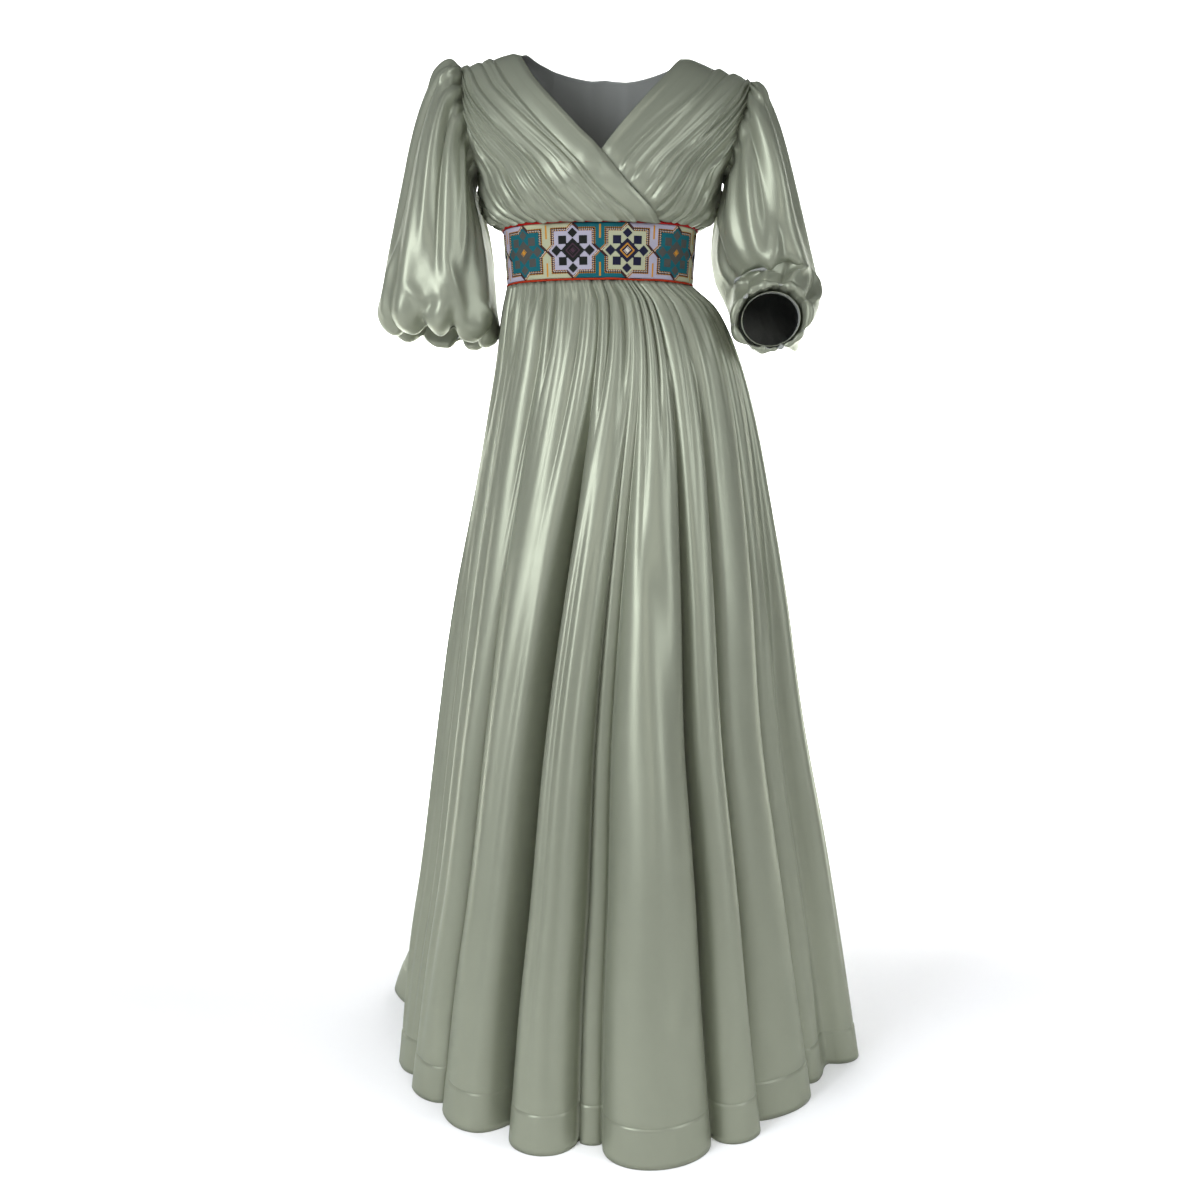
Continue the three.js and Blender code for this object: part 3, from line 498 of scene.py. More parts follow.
def chart(across, down):
    """The thread of each stitch, counted from the middle of the front and from the band's top. The
    shapes are measured in half stars from the middle of a star."""
    round_it = STARS * TILE
    across = (across + round_it // 2) % round_it - round_it // 2
    tile = across // TILE
    side = (across % TILE + 0.5) / (TILE / 2) - 1
    x, y = np.abs(side), np.abs((down + 0.5) / (TILE / 2) - 1)
    star = np.minimum(x + y - 0.92, np.maximum(x, y) - 0.7)
    dots = (across + down) % 2 == 0
    core = np.minimum(x + y - 0.44, np.maximum(x, y) - 0.26) < 0
    petals = np.minimum(np.abs(x - 0.62) + y, x + np.abs(y - 0.64)) < 0.19
    squares = np.maximum(np.abs(x - 0.385), np.abs(y - 0.385)) < 0.155
    ring = np.abs(x + y - 0.24) < 0.035
    middle = (x + y < 0.07) | ((x + y < 0.14) & dots)
    stem = (x > 1 - 2.2 / TILE) & (y > 0.42) & (y < 0.92)
    kind, fill = (tile + 2) % 3, (tile + (side > 0)) % 3
    names = np.full(x.shape, "", dtype="U8")
    for k, (ground, motif, centre, around) in enumerate(COLOURINGS):
        here = kind == k
        names[here] = ground
        names[here & (core | petals | squares)] = motif
        names[here & ring] = around
        names[here & middle] = centre
    outside = star > 0
    for k, colour in enumerate(FILLS):
        names[outside & (fill == k)] = colour
    names[outside & stem] = "gold"
    outline = np.floor(star * TILE / 2).astype(int)
    names[outside & (outline <= 3)] = "brown"
    names[outside & (outline == 3) & dots] = "gold"
    names[outside & (outline == 0) & ((across - down) % 3 == 0)] = "gold"
    names[outside & (outline == 1) & dots] = "white"
    return names


def evenly_round(height, count):
    """Degrees that part the band's ring into equal lengths."""
    fine = np.linspace(0, 360, 2881)
    points = band_form(fine, height + 0 * fine)[0]
    length = np.concatenate([[0], np.cumsum(np.linalg.norm(np.diff(points, axis=0), axis=1))])
    return np.interp(np.linspace(0, length[-1], count + 1), length, fine)


def make_band():
    """The band, one face for each stitch, with each stitch's thread as the face's colour."""
    across = evenly_round((BAND_TOP + BAND_BOTTOM) / 2, STARS * TILE)
    degrees, height = np.meshgrid(across, np.linspace(BAND_TOP, BAND_BOTTOM, TILE + 1))
    base, normal = band_form(degrees, height)
    edge = np.minimum(BAND_TOP - height, height - BAND_BOTTOM)
    stitches = np.arange(STARS * TILE) + np.zeros((TILE, 1), int)
    rows = np.arange(TILE)[:, None] + np.zeros(STARS * TILE, int)
    names = chart(stitches, rows)
    raised = np.isin(names, MOTIF_THREADS) * MOTIF_RAISED
    raised = raised + np.isin(names, OUTLINE_THREADS) * OUTLINE_RAISED
    corner = np.pad(raised, ((1, 1), (0, 0)), mode="edge")
    corner = np.concatenate([corner[:, -1:], corner], 1)
    corner = (corner[:-1] + corner[1:]) / 2
    thick = np.concatenate([(corner[:, :-1] + corner[:, 1:]) / 2, corner[:, :1] * 0], 1)
    thick[:, -1] = thick[:, 0]
    lift = BAND_WALL / 2 + thick - 0.5 * (1 - ease(edge, 0, 1.5))
    piece = lay_grid("embroidered_band", base + normal * lift[..., None], ring=True)
    thread = piece.data.color_attributes.new("thread", "FLOAT_COLOR", "CORNER")
    uv = piece.data.uv_layers["cloth"].data
    long = max(loop.uv[0] for loop in uv)
    tall = -min(loop.uv[1] for loop in uv)
    for face in piece.data.polygons:
        mid = sum((uv[n].uv for n in face.loop_indices), Vector((0, 0))) / 4
        i = int(mid[0] / long * STARS * TILE) % (STARS * TILE)
        j = min(int(-mid[1] / tall * TILE), TILE - 1)
        for n in face.loop_indices:
            thread.data[n].color = (*THREADS[names[j, i]], 1)
    return piece


def embroidery():
    """Wool cross-stitch: the thread's colour from the chart, and two slanting strands a stitch."""
    material, n, link, shader = start_material(
        "cross_stitch",
        thread="VertexColor",
        cloth="UVMap",
        up="Mapping",
        down="Mapping",
        strand_up="TexWave",
        strand_down="TexWave",
        both="Math",
        fuzz="TexNoise",
        shade="Mix",
        rise="Bump",
    )
    n["thread"].layer_name = "thread"
    n["cloth"].uv_map = "cloth"
    for name, turn in (("up", 0.785), ("down", -0.785)):
        n[name].inputs["Rotation"].default_value = (0, 0, turn)
        link(n["cloth"].outputs["UV"], n[name].inputs["Vector"])
        link(n[name].outputs["Vector"], n["strand_" + name].inputs["Vector"])
        n["strand_" + name].inputs["Scale"].default_value = 360
        link(n["strand_" + name].outputs["Fac"], n["both"].inputs[0 if name == "up" else 1])
    n["both"].operation = "MAXIMUM"
    n["fuzz"].inputs["Scale"].default_value = 900
    link(n["cloth"].outputs["UV"], n["fuzz"].inputs["Vector"])
    n["shade"].data_type = "RGBA"
    n["shade"].blend_type = "MULTIPLY"
    n["shade"].inputs["Factor"].default_value = 0.35
    link(n["thread"].outputs["Color"], n["shade"].inputs["A"])
    link(n["fuzz"].outputs["Fac"], n["shade"].inputs["B"])
    link(n["shade"].outputs["Result"], shader.inputs["Base Color"])
    link(n["both"].outputs["Value"], n["rise"].inputs["Height"])
    n["rise"].inputs["Strength"].default_value = 0.5
    n["rise"].inputs["Distance"].default_value = 0.0003
    link(n["rise"].outputs["Normal"], shader.inputs["Normal"])
    shader.inputs["Roughness"].default_value = 0.85
    shader.inputs["Specular IOR Level"].default_value = 0.15
    return material


band = make_band()
band.data.materials.append(embroidery())
wall = band.modifiers.new("lining", "SOLIDIFY")
wall.thickness = BAND_WALL / 2000
wall.offset = -1
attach(band, "root")
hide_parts("waistband")


# Two cords of red piping are sewn into the band's seams, a fuller one over it and a finer one
# under it. Each is a bias strip of cotton folded round a cord.
def piping_cloth(name, colour):
    """Red cotton cut on the bias, so that its rib slants round the cord."""
    material, n, link, shader = start_material(
        name, cloth="UVMap", slant="Mapping", rib="TexWave", tone="TexNoise", colour="Mix", rise="Bump"
    )
    n["cloth"].uv_map = "cloth"
    n["slant"].inputs["Rotation"].default_value = (0, 0, 0.7)
    n["rib"].inputs["Scale"].default_value = 420
    n["tone"].inputs["Scale"].default_value = 60
    n["colour"].data_type = "RGBA"
    n["colour"].inputs["A"].default_value = (*colour, 1)
    n["colour"].inputs["B"].default_value = (*(0.6 * c for c in colour), 1)
    link(n["cloth"].outputs["UV"], n["slant"].inputs["Vector"])
    link(n["slant"].outputs["Vector"], n["rib"].inputs["Vector"])
    link(n["slant"].outputs["Vector"], n["tone"].inputs["Vector"])
    link(n["tone"].outputs["Fac"], n["colour"].inputs["Factor"])
    link(n["colour"].outputs["Result"], shader.inputs["Base Color"])
    link(n["rib"].outputs["Fac"], n["rise"].inputs["Height"])
    n["rise"].inputs["Strength"].default_value = 0.3
    n["rise"].inputs["Distance"].default_value = 0.0001
    link(n["rise"].outputs["Normal"], shader.inputs["Normal"])
    shader.inputs["Roughness"].default_value = 0.68
    shader.inputs["Specular IOR Level"].default_value = 0.2
    return material


def sew_cord(name, node, height, radius, colour, seed):
    """A sewn cord: a little uneven in height and thickness, as a hand-guided seam leaves it."""
    degrees, turn = np.meshgrid(evenly_round(height, 300), np.linspace(0, 2 * np.pi, 15))
    line, normal = band_form(degrees, height + 0 * degrees)
    sway = drifting(degrees / 40, 0 * degrees, seed)
    sway = sway * ease(degrees, 0, 6) * ease(360 - degrees, 0, 6)
    thick = radius * (1 + 0.06 * sway)
    points = line + normal * (BAND_WALL / 2 + thick * np.sin(turn))[..., None]
    points[..., 2] += thick * np.cos(turn) + 0.25 * sway
    cord = lay_grid(name, points, both=True)
    cord.data.materials.append(piping_cloth(name + "_cotton", colour))
    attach(cord, "root")
    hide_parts(node)


sew_cord("upper_cord", "piping_top", -243.9, 2.0, (0.42, 0.006, 0.004), 21)
sew_cord("lower_cord", "piping_bottom", -321.7, 1.4, (0.42, 0.03, 0.004), 22)


# The skirt is two flared panels of satin, each gathered to the band and joined at the side seams.
# The gathers run together into full folds, and the hem is turned up 50 mm and stitched by machine.
HEM_DROP = 1470  # how far the hem lies below the shoulders
SKIRT_RINGS = table(
    "drop half front back centre behind power",
    (WAIST, 132, 98, 90, 0, 0, 0.82),
    (355, 153, 118, 112, 14, 0, 0.84),
    (420, 172, 142, 140, 25, 1, 0.88),
    (500, 190, 160, 162, 30, 3, 0.92),
    (600, 208, 180, 186, 32, 5, 0.95),
    (750, 231, 210, 220, 33, 7, 0.98),
    (950, 256, 246, 264, 34, 9, 1),
    (1150, 286, 282, 306, 40, 11, 1),
    (1300, 310, 309, 336, 40, 13, 1),
    (HEM_DROP, 334, 340, 370, 42, 15, 1),
)
SKIRT_FOLDS = table(
    "waist hem valley crest lean gathers",
    (-90, -90, 6, 10, 0, 4),
    (-60, -71, 24, 7, -4, 4),
    (-34, -54.5, 22, 10, 4, 5),
    (-3, -33, 62, 14, 4, 3),
    (11, -13.5, 42, -32, 0, 1),
    (14, -7.5, 40, 26, -12, 4),
    (24, 20.5, 42, -6, -4, 2),
    (37, 35.5, 44, -30, 5, 3),
    (57, 62.5, 60, -34, 0, 2),
    (73, 78, 28, 14, 4, 3),
    (90, 90, 6, 12, -4, 3),
    (109, 108, 38, 10, 3, 3),
    (129, 128, 44, 14, -6, 4),
    (152, 151, 40, 18, 4, 3),
    (172, 173, 52, 20, -8, 4),
    (196, 197, 40, 14, 5, 3),
    (217, 220, 36, 16, 0, 4),
    (243, 252, 30, 4, -3, 3),
    (270, 270, 6, 0, 0, 0),
)
HEM_FLARE = dict(round=240, wide=12, height=108, start=0.74)
HEM_DEPTH = 50
HEM_LINE = 1 - HEM_DEPTH / (HEM_DROP - WAIST)  # where its stitching runs, as a share of the way down
SKIRT_LENGTH = 1147  # of a panel, from the band to the hem
GATHER_WIDTH = 26
GATHER_STEPS = 12  # grid columns in each gather
FIRST_GATHER = np.concatenate([[0], np.cumsum(SKIRT_FOLDS["gathers"])[:-1]])
FRONT_GATHERS = int(FIRST_GATHER[SKIRT_FOLDS["waist"].tolist().index(90)])
ALL_GATHERS = int(FIRST_GATHER[-1])
SKIRT_CREASES = (
    (21, 0.08, 21, 1, 0, 7, -12),
    (23, 0.08, 23, 1, 0, 7, -15),
    (13, 0.16, 13, 1.02, 0, 13, -24),
    (26, 0.2, 26, 1, 0, 7, -7),
    (18.1, 0.26, 20.3, 0.62, 8, 20, -5),
    (19.3, 0.5, 18.7, 0.96, -6, 22, 5),
    (18.7, 0.8, 19.5, 0.88, 0, 5, -3),
    (20.3, 0.79, 19.5, 0.88, 0, 5, -3),
    (14.2, 0.24, 14.3, 0.97, 2, 5.5, -6),
    (15.1, 0.3, 15.2, 0.98, -2, 5, -4.5),
    (24.4, 0.4, 24.8, 0.95, 5, 24, -3),
    (27, 0.34, 27.1, 0.99, -3, 6, 8),
    (29.4, 0.2, 29.2, 0.98, 4, 12, -5),
    (2.1, 0.26, 1.9, 0.99, 3, 7, 8),
    (3.1, 0.3, 3.2, 0.97, -3, 6, -6),
    (5.7, 0.2, 5.7, 0.99, 4, 14, -6),
    (7.2, 0.42, 7.4, 0.98, -4, 16, 4),
    (9.6, 0.24, 9.9, 0.9, 6, 18, 4),
    (11.4, 0.3, 11.1, 0.99, -4, 12, -4),
    (6.2, 0.47, 8.7, 0.474, 2, 2.6, 1.6),
    (5.4, 0.56, 7.9, 0.557, -2, 2.4, 1.4),
    (6, 0.66, 9.1, 0.664, 2, 2.6, 1.6),
    (8.4, 0.71, 10.8, 0.708, -1, 2.2, 1.2),
    (6.6, 0.48, 7.3, 0.505, 1, 2.6, 1.2),
    (7, 0.475, 7.7, 0.5, -1, 2.2, -1),
    (34, 0.2, 33.8, 0.98, 4, 8, 7),
    (36.3, 0.26, 36.5, 0.99, -4, 7, -7),
    (39.4, 0.3, 39.2, 0.96, 5, 12, 5),
    (42.8, 0.22, 43, 0.99, 3, 7, -8),
    (45.6, 0.3, 45.4, 0.95, -4, 9, 6),
    (48.5, 0.24, 48.9, 0.98, 5, 8, -7),
    (51.2, 0.34, 51, 0.97, -3, 10, 5),
    (54.1, 0.2, 54.3, 0.99, 4, 7, -7),
    (56.8, 0.3, 56.5, 0.96, -5, 9, 6),
    (38, 0.52, 40.6, 0.524, 2, 2.6, 1.6),
    (46, 0.6, 48.8, 0.597, -2, 2.4, 1.4),
)


def pinched(gather, down):
    """Fine uneven gathers under the band: narrow pinches that open and fade at their own lengths."""
    chance = np.random.default_rng(12)
    total = np.zeros(gather.shape)
    place = 0.3
    while place < ALL_GATHERS:
        deep, long = chance.uniform(3.5, 10.5), chance.choice([0.06, 0.1, 0.15, 0.24, 0.42])
        sway, wide = chance.uniform(-0.6, 0.6), chance.uniform(0.17, 0.34)
        away = (gather - place - sway * down * 2) / (wide + 0.6 * down)
        near = np.exp(-np.abs(away) ** 1.2)
        total -= deep * near * ease(down, -0.02, 0.02) * (1 - ease(down, 0.2 * long, long))
        place += chance.uniform(0.62, 1.55)
    notches = np.arange(0.4, ALL_GATHERS, 0.62)
    for place in notches + chance.uniform(-0.22, 0.22, len(notches)):
        near = np.exp(-np.abs((gather - place) / (0.12 + down)) ** 1.3)
        total -= chance.uniform(1.2, 4.2) * near * (1 - ease(down, 0.004, chance.uniform(0.02, 0.07)))
    return total


def skirt_points(gather, down):
    """Points on the middle of the skirt's cloth, by gather round the waist and share of the way down."""
    k = np.clip(np.searchsorted(FIRST_GATHER, gather, side="right") - 1, 0, len(FIRST_GATHER) - 2)
    fold = {name: (of[k], of[k + 1]) for name, of in SKIRT_FOLDS.items()}
    share = np.clip((gather - FIRST_GATHER[k]) / fold["gathers"][0], 0, 1)
    fan = 1 - (1 - down) ** 2.6
    degrees = mix(mix(*fold["waist"], share), mix(*fold["hem"], share), fan)
    drop = mix(WAIST, HEM_DROP, down)
    ring = row_at(SKIRT_RINGS, "drop", drop)
    x, y = ring_point(ring, degrees, ring["power"])
    normal = np.stack([x, 1.1 * y, 0 * x], -1)
    normal /= np.linalg.norm(normal, axis=-1, keepdims=True)
    soft, full = 0.025, 0.4
    hill = ((4 * share * (1 - share) + soft) ** full - soft**full) / ((1 + soft) ** full - soft**full)
    valley = mix(*fold["valley"], share)
    crest = fold["crest"][0] + fold["lean"][0] * (2 * share - 1)
    lift = ((crest + valley) * hill - valley) * ease(down, 0.02, 0.75) ** 0.8
    aside = (degrees - HEM_FLARE["round"]) / HEM_FLARE["wide"]
    lift += HEM_FLARE["height"] * np.exp(-(aside**2)) * ease(down, HEM_FLARE["start"], 1.04)
    fading = ease(down, -0.02, 0.02) * (1 - ease(down, 0.03, 0.34))
    uneven = gather + 0.2 * drifting(gather / 5, 3 * down, 17)
    ridge = np.abs(np.sin(np.pi * uneven * 1.25)) ** 0.8 - 0.6
    lift += 2 + (1 + 0.7 * drifting(gather / 2, 0.6 * down, 19)) * ridge * fading + pinched(gather, down)
    lift += creases(SKIRT_CREASES, gather, down, (GATHER_WIDTH, SKIRT_LENGTH))
    lift += 1.8 * drifting(gather * 0.16, 1.1 * down, 31) * ease(down, 0.1, 0.5)
    turn_up, sunk, wide = 0.9, 1.3, 1.3  # the hem's second layer, and the groove that its stitching draws
    groove = sunk * np.exp(-(((down - HEM_LINE) * SKIRT_LENGTH / wide) ** 2))
    lift += turn_up * ease(down, HEM_LINE - 0.0012, HEM_LINE + 0.0012) - groove
    base = np.stack([x + ring["centre"], y + ring["behind"], -drop], -1)
    return base + normal * (lift + SOLID_HALF)[..., None], normal


def make_skirt(name, first, last):
    """One panel of the skirt from its first to its last gather, with close rows at the hem's stitching."""
    upper = spaced((0, 0.1, 22), (0.1, 0.4, 30), (0.4, HEM_LINE - 8 / SKIRT_LENGTH, 34))
    at_stitching = HEM_LINE + np.array([-3, -1.2, 0, 1.2, 3]) / SKIRT_LENGTH
    hem = np.linspace(HEM_LINE + 6 / SKIRT_LENGTH, 1, 7)
    across = np.linspace(first, last, (last - first) * GATHER_STEPS + 1)
    gather, down = np.meshgrid(across, np.concatenate([upper, at_stitching, hem]))
    return lay_grid(name, skirt_points(gather, down)[0])


front_skirt = make_skirt("front_skirt", 0, FRONT_GATHERS)
finish_cloth(front_skirt, "skirt_front")
back_skirt = make_skirt("back_skirt", FRONT_GATHERS, ALL_GATHERS)
finish_cloth(back_skirt, "skirt_back")


# The sleeves are full balloons to the elbow, gathered into the armhole and again into a narrow
# cuff, so that the cloth hangs over the cuff. The left one is bent forwards.
RIGHT_SLEEVE = table(
    "out_x out_z in_x in_z deep ahead bend",
    (212, -10, 179, -183, 58, 0, 0),
    (230, -26, 178, -201, 68, -1, 0),
    (247, -66, 173, -228, 78, -2, 0),
    (263, -120, 166, -257, 85, -3, 0),
    (278, -186, 160, -288, 88, -4, 1),
    (292, -248, 156, -318, 89, -4, 2),
    (303, -300, 154, -344, 88, -4, 3),
    (308, -336, 153, -368, 84, -3, 4),
    (309, -362, 156, -386, 75, -1, 4),
    (301, -379, 163, -396, 62, 0, 4),
    (289, -380, 170, -394, 55, 0, 4),
    (274, -350, 177, -360, 49, 0, 2),
)
LEFT_SLEEVE = table(
    "out_x out_z in_x in_z deep ahead bend",
    (222, -36, 180, -183, 56, 0, 0),
    (233, -50, 179, -200, 67, -1, 0),
    (249, -90, 174, -226, 77, -2, 0),
    (264, -142, 169, -253, 84, -3, 0),
    (279, -200, 167, -282, 88, -4, 2),
    (292, -256, 171, -308, 89, -2, 7),
    (302, -304, 182, -328, 86, 4, 18),
    (306, -334, 190, -346, 72, 18, 38),
    (301, -354, 189, -366, 53, 50, 62),
    (293, -364, 184, -376, 45, 82, 78),
    (288, -369, 185, -377, 44, 95, 88),
    (280, -373, 193, -377, 40, 74, 90),
)
SLEEVE_START = 0.4  # from the armhole's edge to the sleeve's
RIGHT_SLEEVE_FOLDS = (
    (-16, 0.4, -8, 2.4, 5, 4, 3),
    (12, 0.4, 20, 2.6, -5, 4, 4),
    (36, 0.3, 44, 2.1, 5, 5, 8),
    (60, 0.6, 72, 6.5, 6, 9, 7),
    (84, 0.8, 96, 7.4, -8, 8, -7),
    (112, 0.7, 118, 6.2, 5, 8, 7),
    (36, 0.8, 30, 6.8, -5, 9, -6),
    (140, 0.8, 140, 6, 4, 8, -6),
    (200, 0.7, 205, 6.5, 5, 9, 7),
    (235, 0.7, 240, 7, -6, 9, -7),
    (275, 0.8, 270, 6.8, 5, 9, 6),
    (315, 0.7, 318, 7, -6, 9, -6),
    (32, 10, 44, 6, 14, 9, 7),
    (78, 10, 62, 7.4, -14, 9, 7),
    (78, 10, 98, 7.8, 10, 8, -5),
    (112, 10, 98, 6, -14, 10, 6),
    (158, 10, 142, 7.4, -10, 9, 6),
    (205, 10, 222, 7, 10, 9, 6),
    (246, 10, 232, 6.6, -10, 9, -5),
    (288, 10, 304, 7.4, 10, 9, 6),
)
LEFT_SLEEVE_FOLDS = (
    (-12, 0.4, -8, 2.4, 5, 4, 3),
    (16, 0.4, 22, 2.6, -5, 4, 4),
    (40, 0.3, 50, 2.2, 5, 5, 8),
    (66, 0.6, 58, 5.4, 8, 15, 7),
    (96, 0.7, 88, 6.2, -10, 14, -7),
    (128, 0.6, 122, 6.2, 10, 12, 7),
    (34, 0.8, 30, 6.4, -6, 14, -6),
    (160, 3.4, 150, 7.9, -10, 10, -10),
    (154, 7.7, 100, 7.7, 14, 8, 11),
    (108, 7.6, 76, 5.2, 8, 10, 8),
    (150, 0.6, 146, 5, 5, 8, 6),
    (205, 0.7, 210, 6.4, 5, 9, 7),
    (240, 0.7, 246, 6.8, -6, 9, -7),
    (282, 0.8, 276, 6.6, 5, 9, 6),
    (322, 0.7, 324, 6.6, -6, 9, -6),
    (20, 10.2, 30, 7.4, 10, 8, 7),
    (66, 10.2, 50, 7.6, -8, 8, 6),
    (300, 10.2, 312, 7.6, 8, 8, 7),
)
# Degrees round of the pinches between the lobes that hang over each cuff.
RIGHT_LOBES = (32, 78, 112, 158, 204, 250, 300, 346)
LEFT_LOBES = (26, 78, 134, 188, 236, 286, 330)
BELLY_FOLDS = (  # place and half width in degrees, and height, of the full folds down each sleeve
    (12, 17, 5),
    (58, 14, 9),
    (100, 16, 8),
    (146, 14, 6),
    (196, 18, 4),
    (246, 16, 7),
    (300, 18, 8),
)


def armhole_point(side, degrees):
    """The armhole as a closed curve: 0 is the shoulder tip, 90 the front and 180 the underarm."""
    degrees = degrees % 360
    middle = (1 + ARMHOLE_BOTTOM) / 2
    rise = middle + (1 - middle) * np.cos(np.radians(degrees))
    edge = row_at(ARMHOLE, "rise", rise)["round"]
    return bodice_form(np.where(degrees <= 180, side * edge, 180 - side * edge), rise)


def sleeve_ring(rings, side, number):
    """The middle and the two half widths of each numbered ring."""
    row = {name: of[np.clip(number, 1, len(of)) - 1] for name, of in rings.items()}
    bend, none = np.radians(row["bend"]), 0 * row["bend"]
    out_x, out_z, in_x, in_z = row["out_x"], row["out_z"], row["in_x"], row["in_z"]
    half = np.stack([side * (out_x - in_x) / 2, none, (out_z - in_z) / 2], -1)
    middle = np.stack([side * (out_x + in_x) / 2, -row["ahead"], (out_z + in_z) / 2], -1)
    front = np.stack([none, -row["deep"] * np.cos(bend), row["deep"] * np.sin(bend)], -1)
    return middle, half, front, bend


def sleeve_form(rings, side, degrees, down):
    """A sleeve without its folds: 0 degrees is its outer side, 90 the front, and down counts rings."""
    low = np.clip(np.floor(down).astype(int), 0, len(rings["bend"]) - 1)
    turn = np.radians(degrees)[..., None]

    def at(number):
        middle, half, front, _ = sleeve_ring(rings, side, number)
        ring = middle + half * np.cos(turn) + front * np.sin(turn)
        edge = armhole_point(side, degrees)
        edge[..., 0] += side * (SLEEVE_START + number * 9)
        return np.where(number[..., None] < 1, edge, ring)

    before, start, end, after = (at(low + step) for step in (-1, 0, 1, 2))
    t = (down - low)[..., None]
    slope_start, slope_end = (end - before) / 2, (after - start) / 2
    return (
        (2 * t**3 - 3 * t**2 + 1) * start
        + (t**3 - 2 * t**2 + t) * slope_start
        + (3 * t**2 - 2 * t**3) * end
        + (t**3 - t**2) * slope_end
    )


def round_gathers(degrees, places, wide, seed):
    """Uneven pinches all round a tube: -1 in each pinch and 0 between them."""
    chance = np.random.default_rng(seed)
    total = np.zeros(degrees.shape)
    for place in places:
        away = (degrees - place + 180) % 360 - 180
        total -= chance.uniform(0.65, 1) * np.exp(-np.abs(away / wide) ** 1.5)
    return total


def make_sleeve(name, rings, side, folds, lobes, deep, seed):
    """One sleeve with its gathered head, full folds and the lobes at its mouth."""
    last = len(rings["bend"])
    rows = spaced((0, 2, 24), (2, 9, 50), (9, last, 34))
    degrees, down = np.meshgrid(np.linspace(0, 360, 241), rows)
    base = sleeve_form(rings, side, degrees, down)
    normal = outward(base, ring=True)
    inward = np.minimum(side * normal[..., 0], 0)
    normal[..., 0] -= side * inward * (1 - ease(down, 0, 0.6))
    normal /= np.linalg.norm(normal, axis=2, keepdims=True)
    head = ease(down, -0.5, 0.5) * (1 - ease(down, 0.4, 2.6))
    drawn = ease(down, last - 5, last - 2.2) * (1 - 0.9 * ease(down, last - 1.6, last))
    uneven = np.random.default_rng(seed).uniform(-6, 6, 20) + np.arange(20) * 18
    lift = 1.5 * head + 7.5 * head * round_gathers(degrees, uneven, 5, seed)
    lift += (deep * (0.5 + round_gathers(degrees, lobes, 9, seed + 1))) * drawn
    belly = ease(down, 1, 4) * (1 - ease(down, last - 3.4, last - 1.6))
    for place, wide, height in BELLY_FOLDS:
        away = (degrees - place + 180) % 360 - 180
        lift += belly * height * np.exp(-((away / wide) ** 2))
    lift += creases(folds, degrees, down, (1.5, 32), period=360)
    lift += 0.7 * drifting(np.cos(np.radians(degrees)) * 2, down / 4, seed)
    return lay_grid(name, base + normal * (lift + SOLID_HALF)[..., None], ring=True)


def make_cuff(name, rings, side, inset):
    """A cuff inside the mouth of its sleeve, sewn to the sleeve's last ring."""
    rows = np.array([-1.5, 0, 1.5, 8, 14, 15.3, 16])
    degrees, down = np.meshgrid(np.linspace(0, 360, 97), rows)
    middle, half, front, bend = sleeve_ring(rings, side, np.full(degrees.shape, len(rings["bend"])))
    turn = np.radians(degrees)[..., None]
    spoke = half * np.cos(turn) + front * np.sin(turn)
    onwards = np.stack([0 * bend, -np.sin(bend), -np.cos(bend)], -1)
    length = np.linalg.norm(spoke, axis=2, keepdims=True)
    puckers = 0.35 * np.sin(np.radians(degrees * 41))[..., None] * np.exp(-down / 5)[..., None]
    wider = 1 + (puckers + SOLID_HALF - inset) / length
    return lay_grid(name, middle + onwards * down[..., None] + spoke * wider, ring=True)


right_sleeve = make_sleeve("right_puff", RIGHT_SLEEVE, -1, RIGHT_SLEEVE_FOLDS, RIGHT_LOBES, 20, 41)
finish_cloth(right_sleeve, "sleeve_right")
left_sleeve = make_sleeve("left_puff", LEFT_SLEEVE, 1, LEFT_SLEEVE_FOLDS, LEFT_LOBES, 9, 51)
finish_cloth(left_sleeve, "sleeve_left")
right_cuff = make_cuff("right_cuff_band", RIGHT_SLEEVE, -1, 3.4)
finish_cloth(right_cuff, "cuff_right")
left_cuff = make_cuff("left_cuff_band", LEFT_SLEEVE, 1, 3.7)
finish_cloth(left_cuff, "cuff_left")


# The sewing that shows: one row of lockstitch round the hem, in thread of the cloth's own colour.
def lay_stitches(name, line, normal, pitch, long, thick):
    """A joined mesh of short rounded stitches along a line of points in millimetres."""
    run = np.concatenate([[0], np.cumsum(np.linalg.norm(np.diff(line, axis=0), axis=1))])
    bm = bmesh.new()
    for at in np.arange(pitch, run[-1] - pitch, pitch):
        reach = (at - long / 2, at + long / 2)
        ends = [np.array([np.interp(r, run, line[:, c]) for c in range(3)]) for r in reach]
        out = Vector([np.interp(at, run, normal[:, c]) for c in range(3)]).normalized()
        along = Vector(ends[1] - ends[0]).normalized()
        turn = Matrix([along, out.cross(along), out]).transposed().to_4x4()
        size = Matrix.Diagonal((long / 2000, thick / 2000, thick / 2000, 1))
        place = Matrix.Translation(Vector((ends[0] + ends[1]) / 2000) + out * thick / 3000)
        bmesh.ops.create_icosphere(bm, subdivisions=1, radius=1, matrix=place @ turn @ size)
    return finish_mesh(name, bm)


def thread(name, colour):
    """Twisted sewing thread."""
    material, n, link, shader = start_material(
        name, place="TexCoord", twist="TexNoise", colour="Mix", rise="Bump"
    )
    n["twist"].inputs["Scale"].default_value = 1800
    n["colour"].data_type = "RGBA"
    n["colour"].inputs["A"].default_value = (*colour, 1)
    n["colour"].inputs["B"].default_value = (*(0.7 * c for c in colour), 1)
    link(n["place"].outputs["Object"], n["twist"].inputs["Vector"])
    link(n["twist"].outputs["Fac"], n["colour"].inputs["Factor"])
    link(n["twist"].outputs["Fac"], n["rise"].inputs["Height"])
    n["rise"].inputs["Distance"].default_value = 0.0001
    link(n["colour"].outputs["Result"], shader.inputs["Base Color"])
    link(n["rise"].outputs["Normal"], shader.inputs["Normal"])
    shader.inputs["Roughness"].default_value = 0.5
    return material


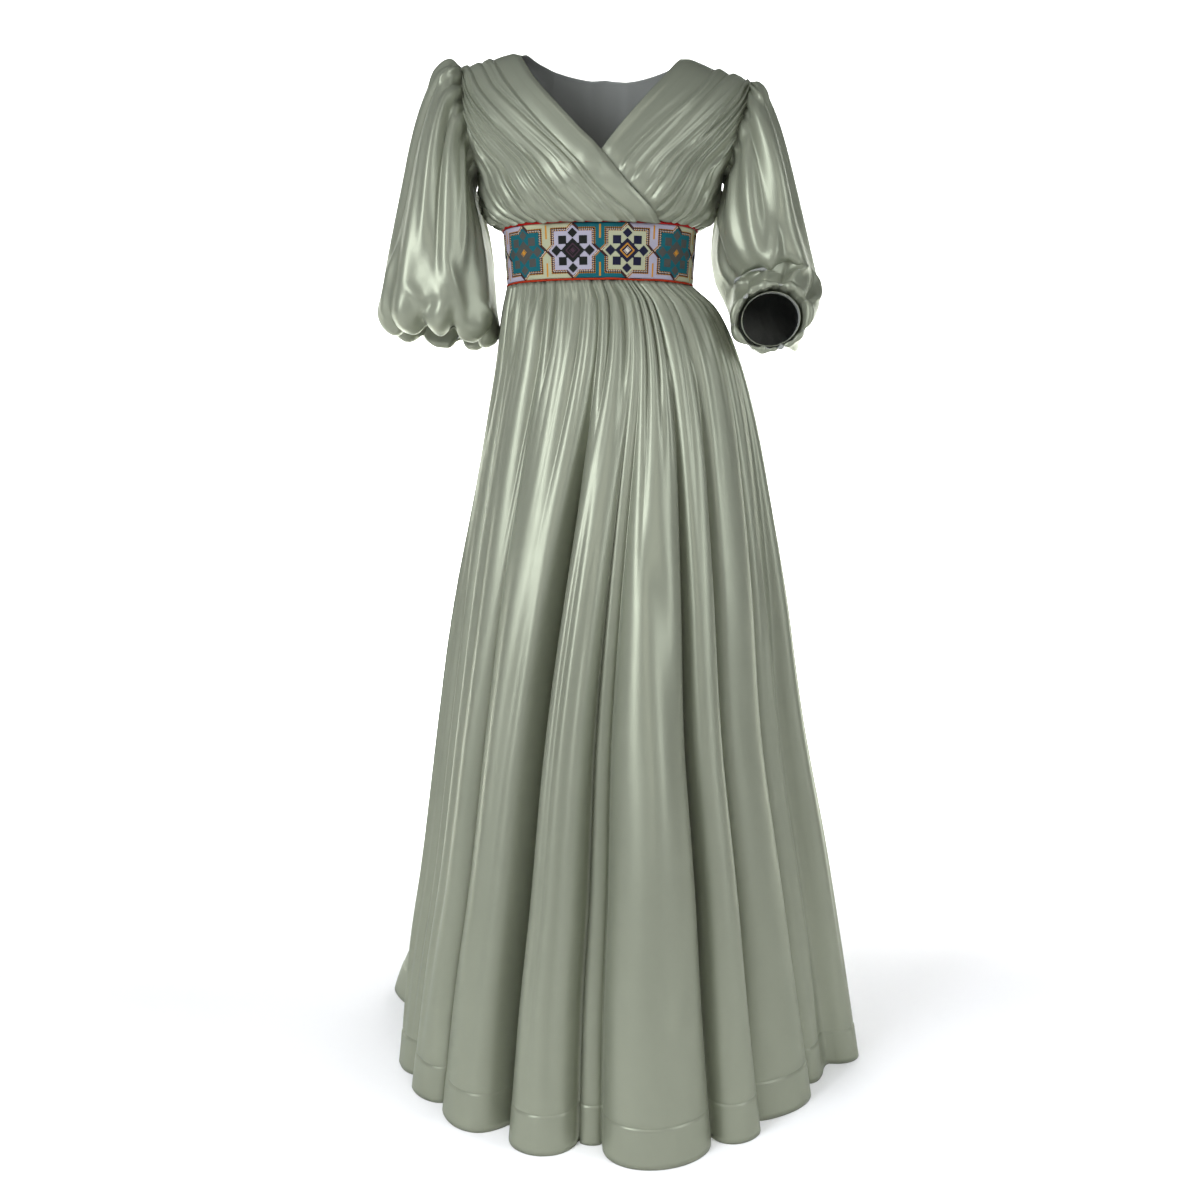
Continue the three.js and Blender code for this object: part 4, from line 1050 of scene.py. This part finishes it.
round_hem = np.linspace(0, ALL_GATHERS - 0.001, 3600)
hem_points, hem_normal = skirt_points(round_hem, HEM_LINE + 0 * round_hem)
hem_stitches = lay_stitches("hem_stitching", hem_points + 0.5 * hem_normal, hem_normal, 3.4, 2.5, 0.5)
hem_stitches.data.materials.append(thread("sage_thread", (0.22, 0.26, 0.18)))
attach(hem_stitches, "root")


# A plain pale studio: a floor that curves up into a wall, a cool soft light on each side, a weak one
# in front, and one each that keeps the wall and the floor evenly pale.
def lay_floor():
    """A floor 12 m wide that bends up into a wall behind the dress."""
    bend, start = 1.2, 2.2
    turns = np.linspace(0.15, np.pi / 2, 12)
    profile = [(-6, 0), (start, 0)]
    profile += [(start + bend * np.sin(a), bend - bend * np.cos(a)) for a in turns]
    profile += [(start + bend, 5)]
    bm = bmesh.new()
    edge = [bm.verts.new((-6, y, z)) for y, z in profile]
    edges = [bm.edges.new(pair) for pair in zip(edge, edge[1:])]
    side = bmesh.ops.extrude_edge_only(bm, edges=edges)["geom"]
    bmesh.ops.translate(bm, vec=(12, 0, 0), verts=[v for v in side if isinstance(v, bmesh.types.BMVert)])
    bmesh.ops.translate(bm, vec=(0, 0, cad_box[0][2] - 0.0005), verts=bm.verts)
    bmesh.ops.recalc_face_normals(bm, faces=bm.faces)
    floor = finish_mesh("studio_floor", bm)
    pale, _, _, shader = start_material("pale_floor")
    shader.inputs["Base Color"].default_value = (0.92, 0.92, 0.92, 1)
    shader.inputs["Roughness"].default_value = 0.9
    floor.data.materials.append(pale)


def soft_light(name, place, aim, wide, tall, watts, spread=180, colour=(1, 1, 1)):
    """A rectangular light of so many metres and watts that faces a point."""
    data = bpy.data.lights.new(name, "AREA")
    data.color = colour
    data.spread = np.radians(spread)
    data.shape, data.size, data.size_y, data.energy = "RECTANGLE", wide, tall, watts
    lamp = bpy.data.objects.new(name, data)
    lamp.location = place
    lamp.rotation_euler = (Vector(aim) - Vector(place)).to_track_quat("-Z", "Y").to_euler()
    bpy.context.scene.collection.objects.link(lamp)


DAYLIGHT = (0.9, 0.93, 1)
lay_floor()
soft_light("left_light", (-1.5, -1.75, 0.25), (0, 0, -0.2), 0.9, 1.5, 50, colour=DAYLIGHT)
soft_light("right_light", (2.3, -1.4, 0.2), (0, 0, -0.4), 0.6, 1.8, 30, colour=DAYLIGHT)
soft_light("front_light", (0.5, -2.7, 0.1), (0.1, 0, -0.5), 0.8, 0.8, 8)
soft_light("wall_light", (0, 0.9, 2.6), (0, 2.9, -1.0), 8, 1.0, 430, spread=75)
soft_light("floor_light", (0, -0.7, 0.9), (0, -0.7, -1.47), 5, 0.5, 13, spread=60)
world = bpy.data.worlds.new("studio_air")
world.use_nodes = True
world.node_tree.nodes["Background"].inputs["Color"].default_value = (0.9, 0.95, 1, 1)
world.node_tree.nodes["Background"].inputs["Strength"].default_value = 0.06
bpy.context.scene.world = world

TILT_DOWN = 6.3  # degrees, at which the photo sees every point of the hem on one level
camera = bpy.data.objects.new("camera", bpy.data.cameras.new("camera"))
camera.data.lens = 40.76
camera.data.sensor_width = 36
camera.location = (0, -2.0, -0.555)
camera.rotation_euler = (np.radians(90 - TILT_DOWN), 0, 0)
bpy.context.scene.collection.objects.link(camera)
bpy.context.scene.camera = camera
bpy.context.scene.view_settings.view_transform = "Standard"
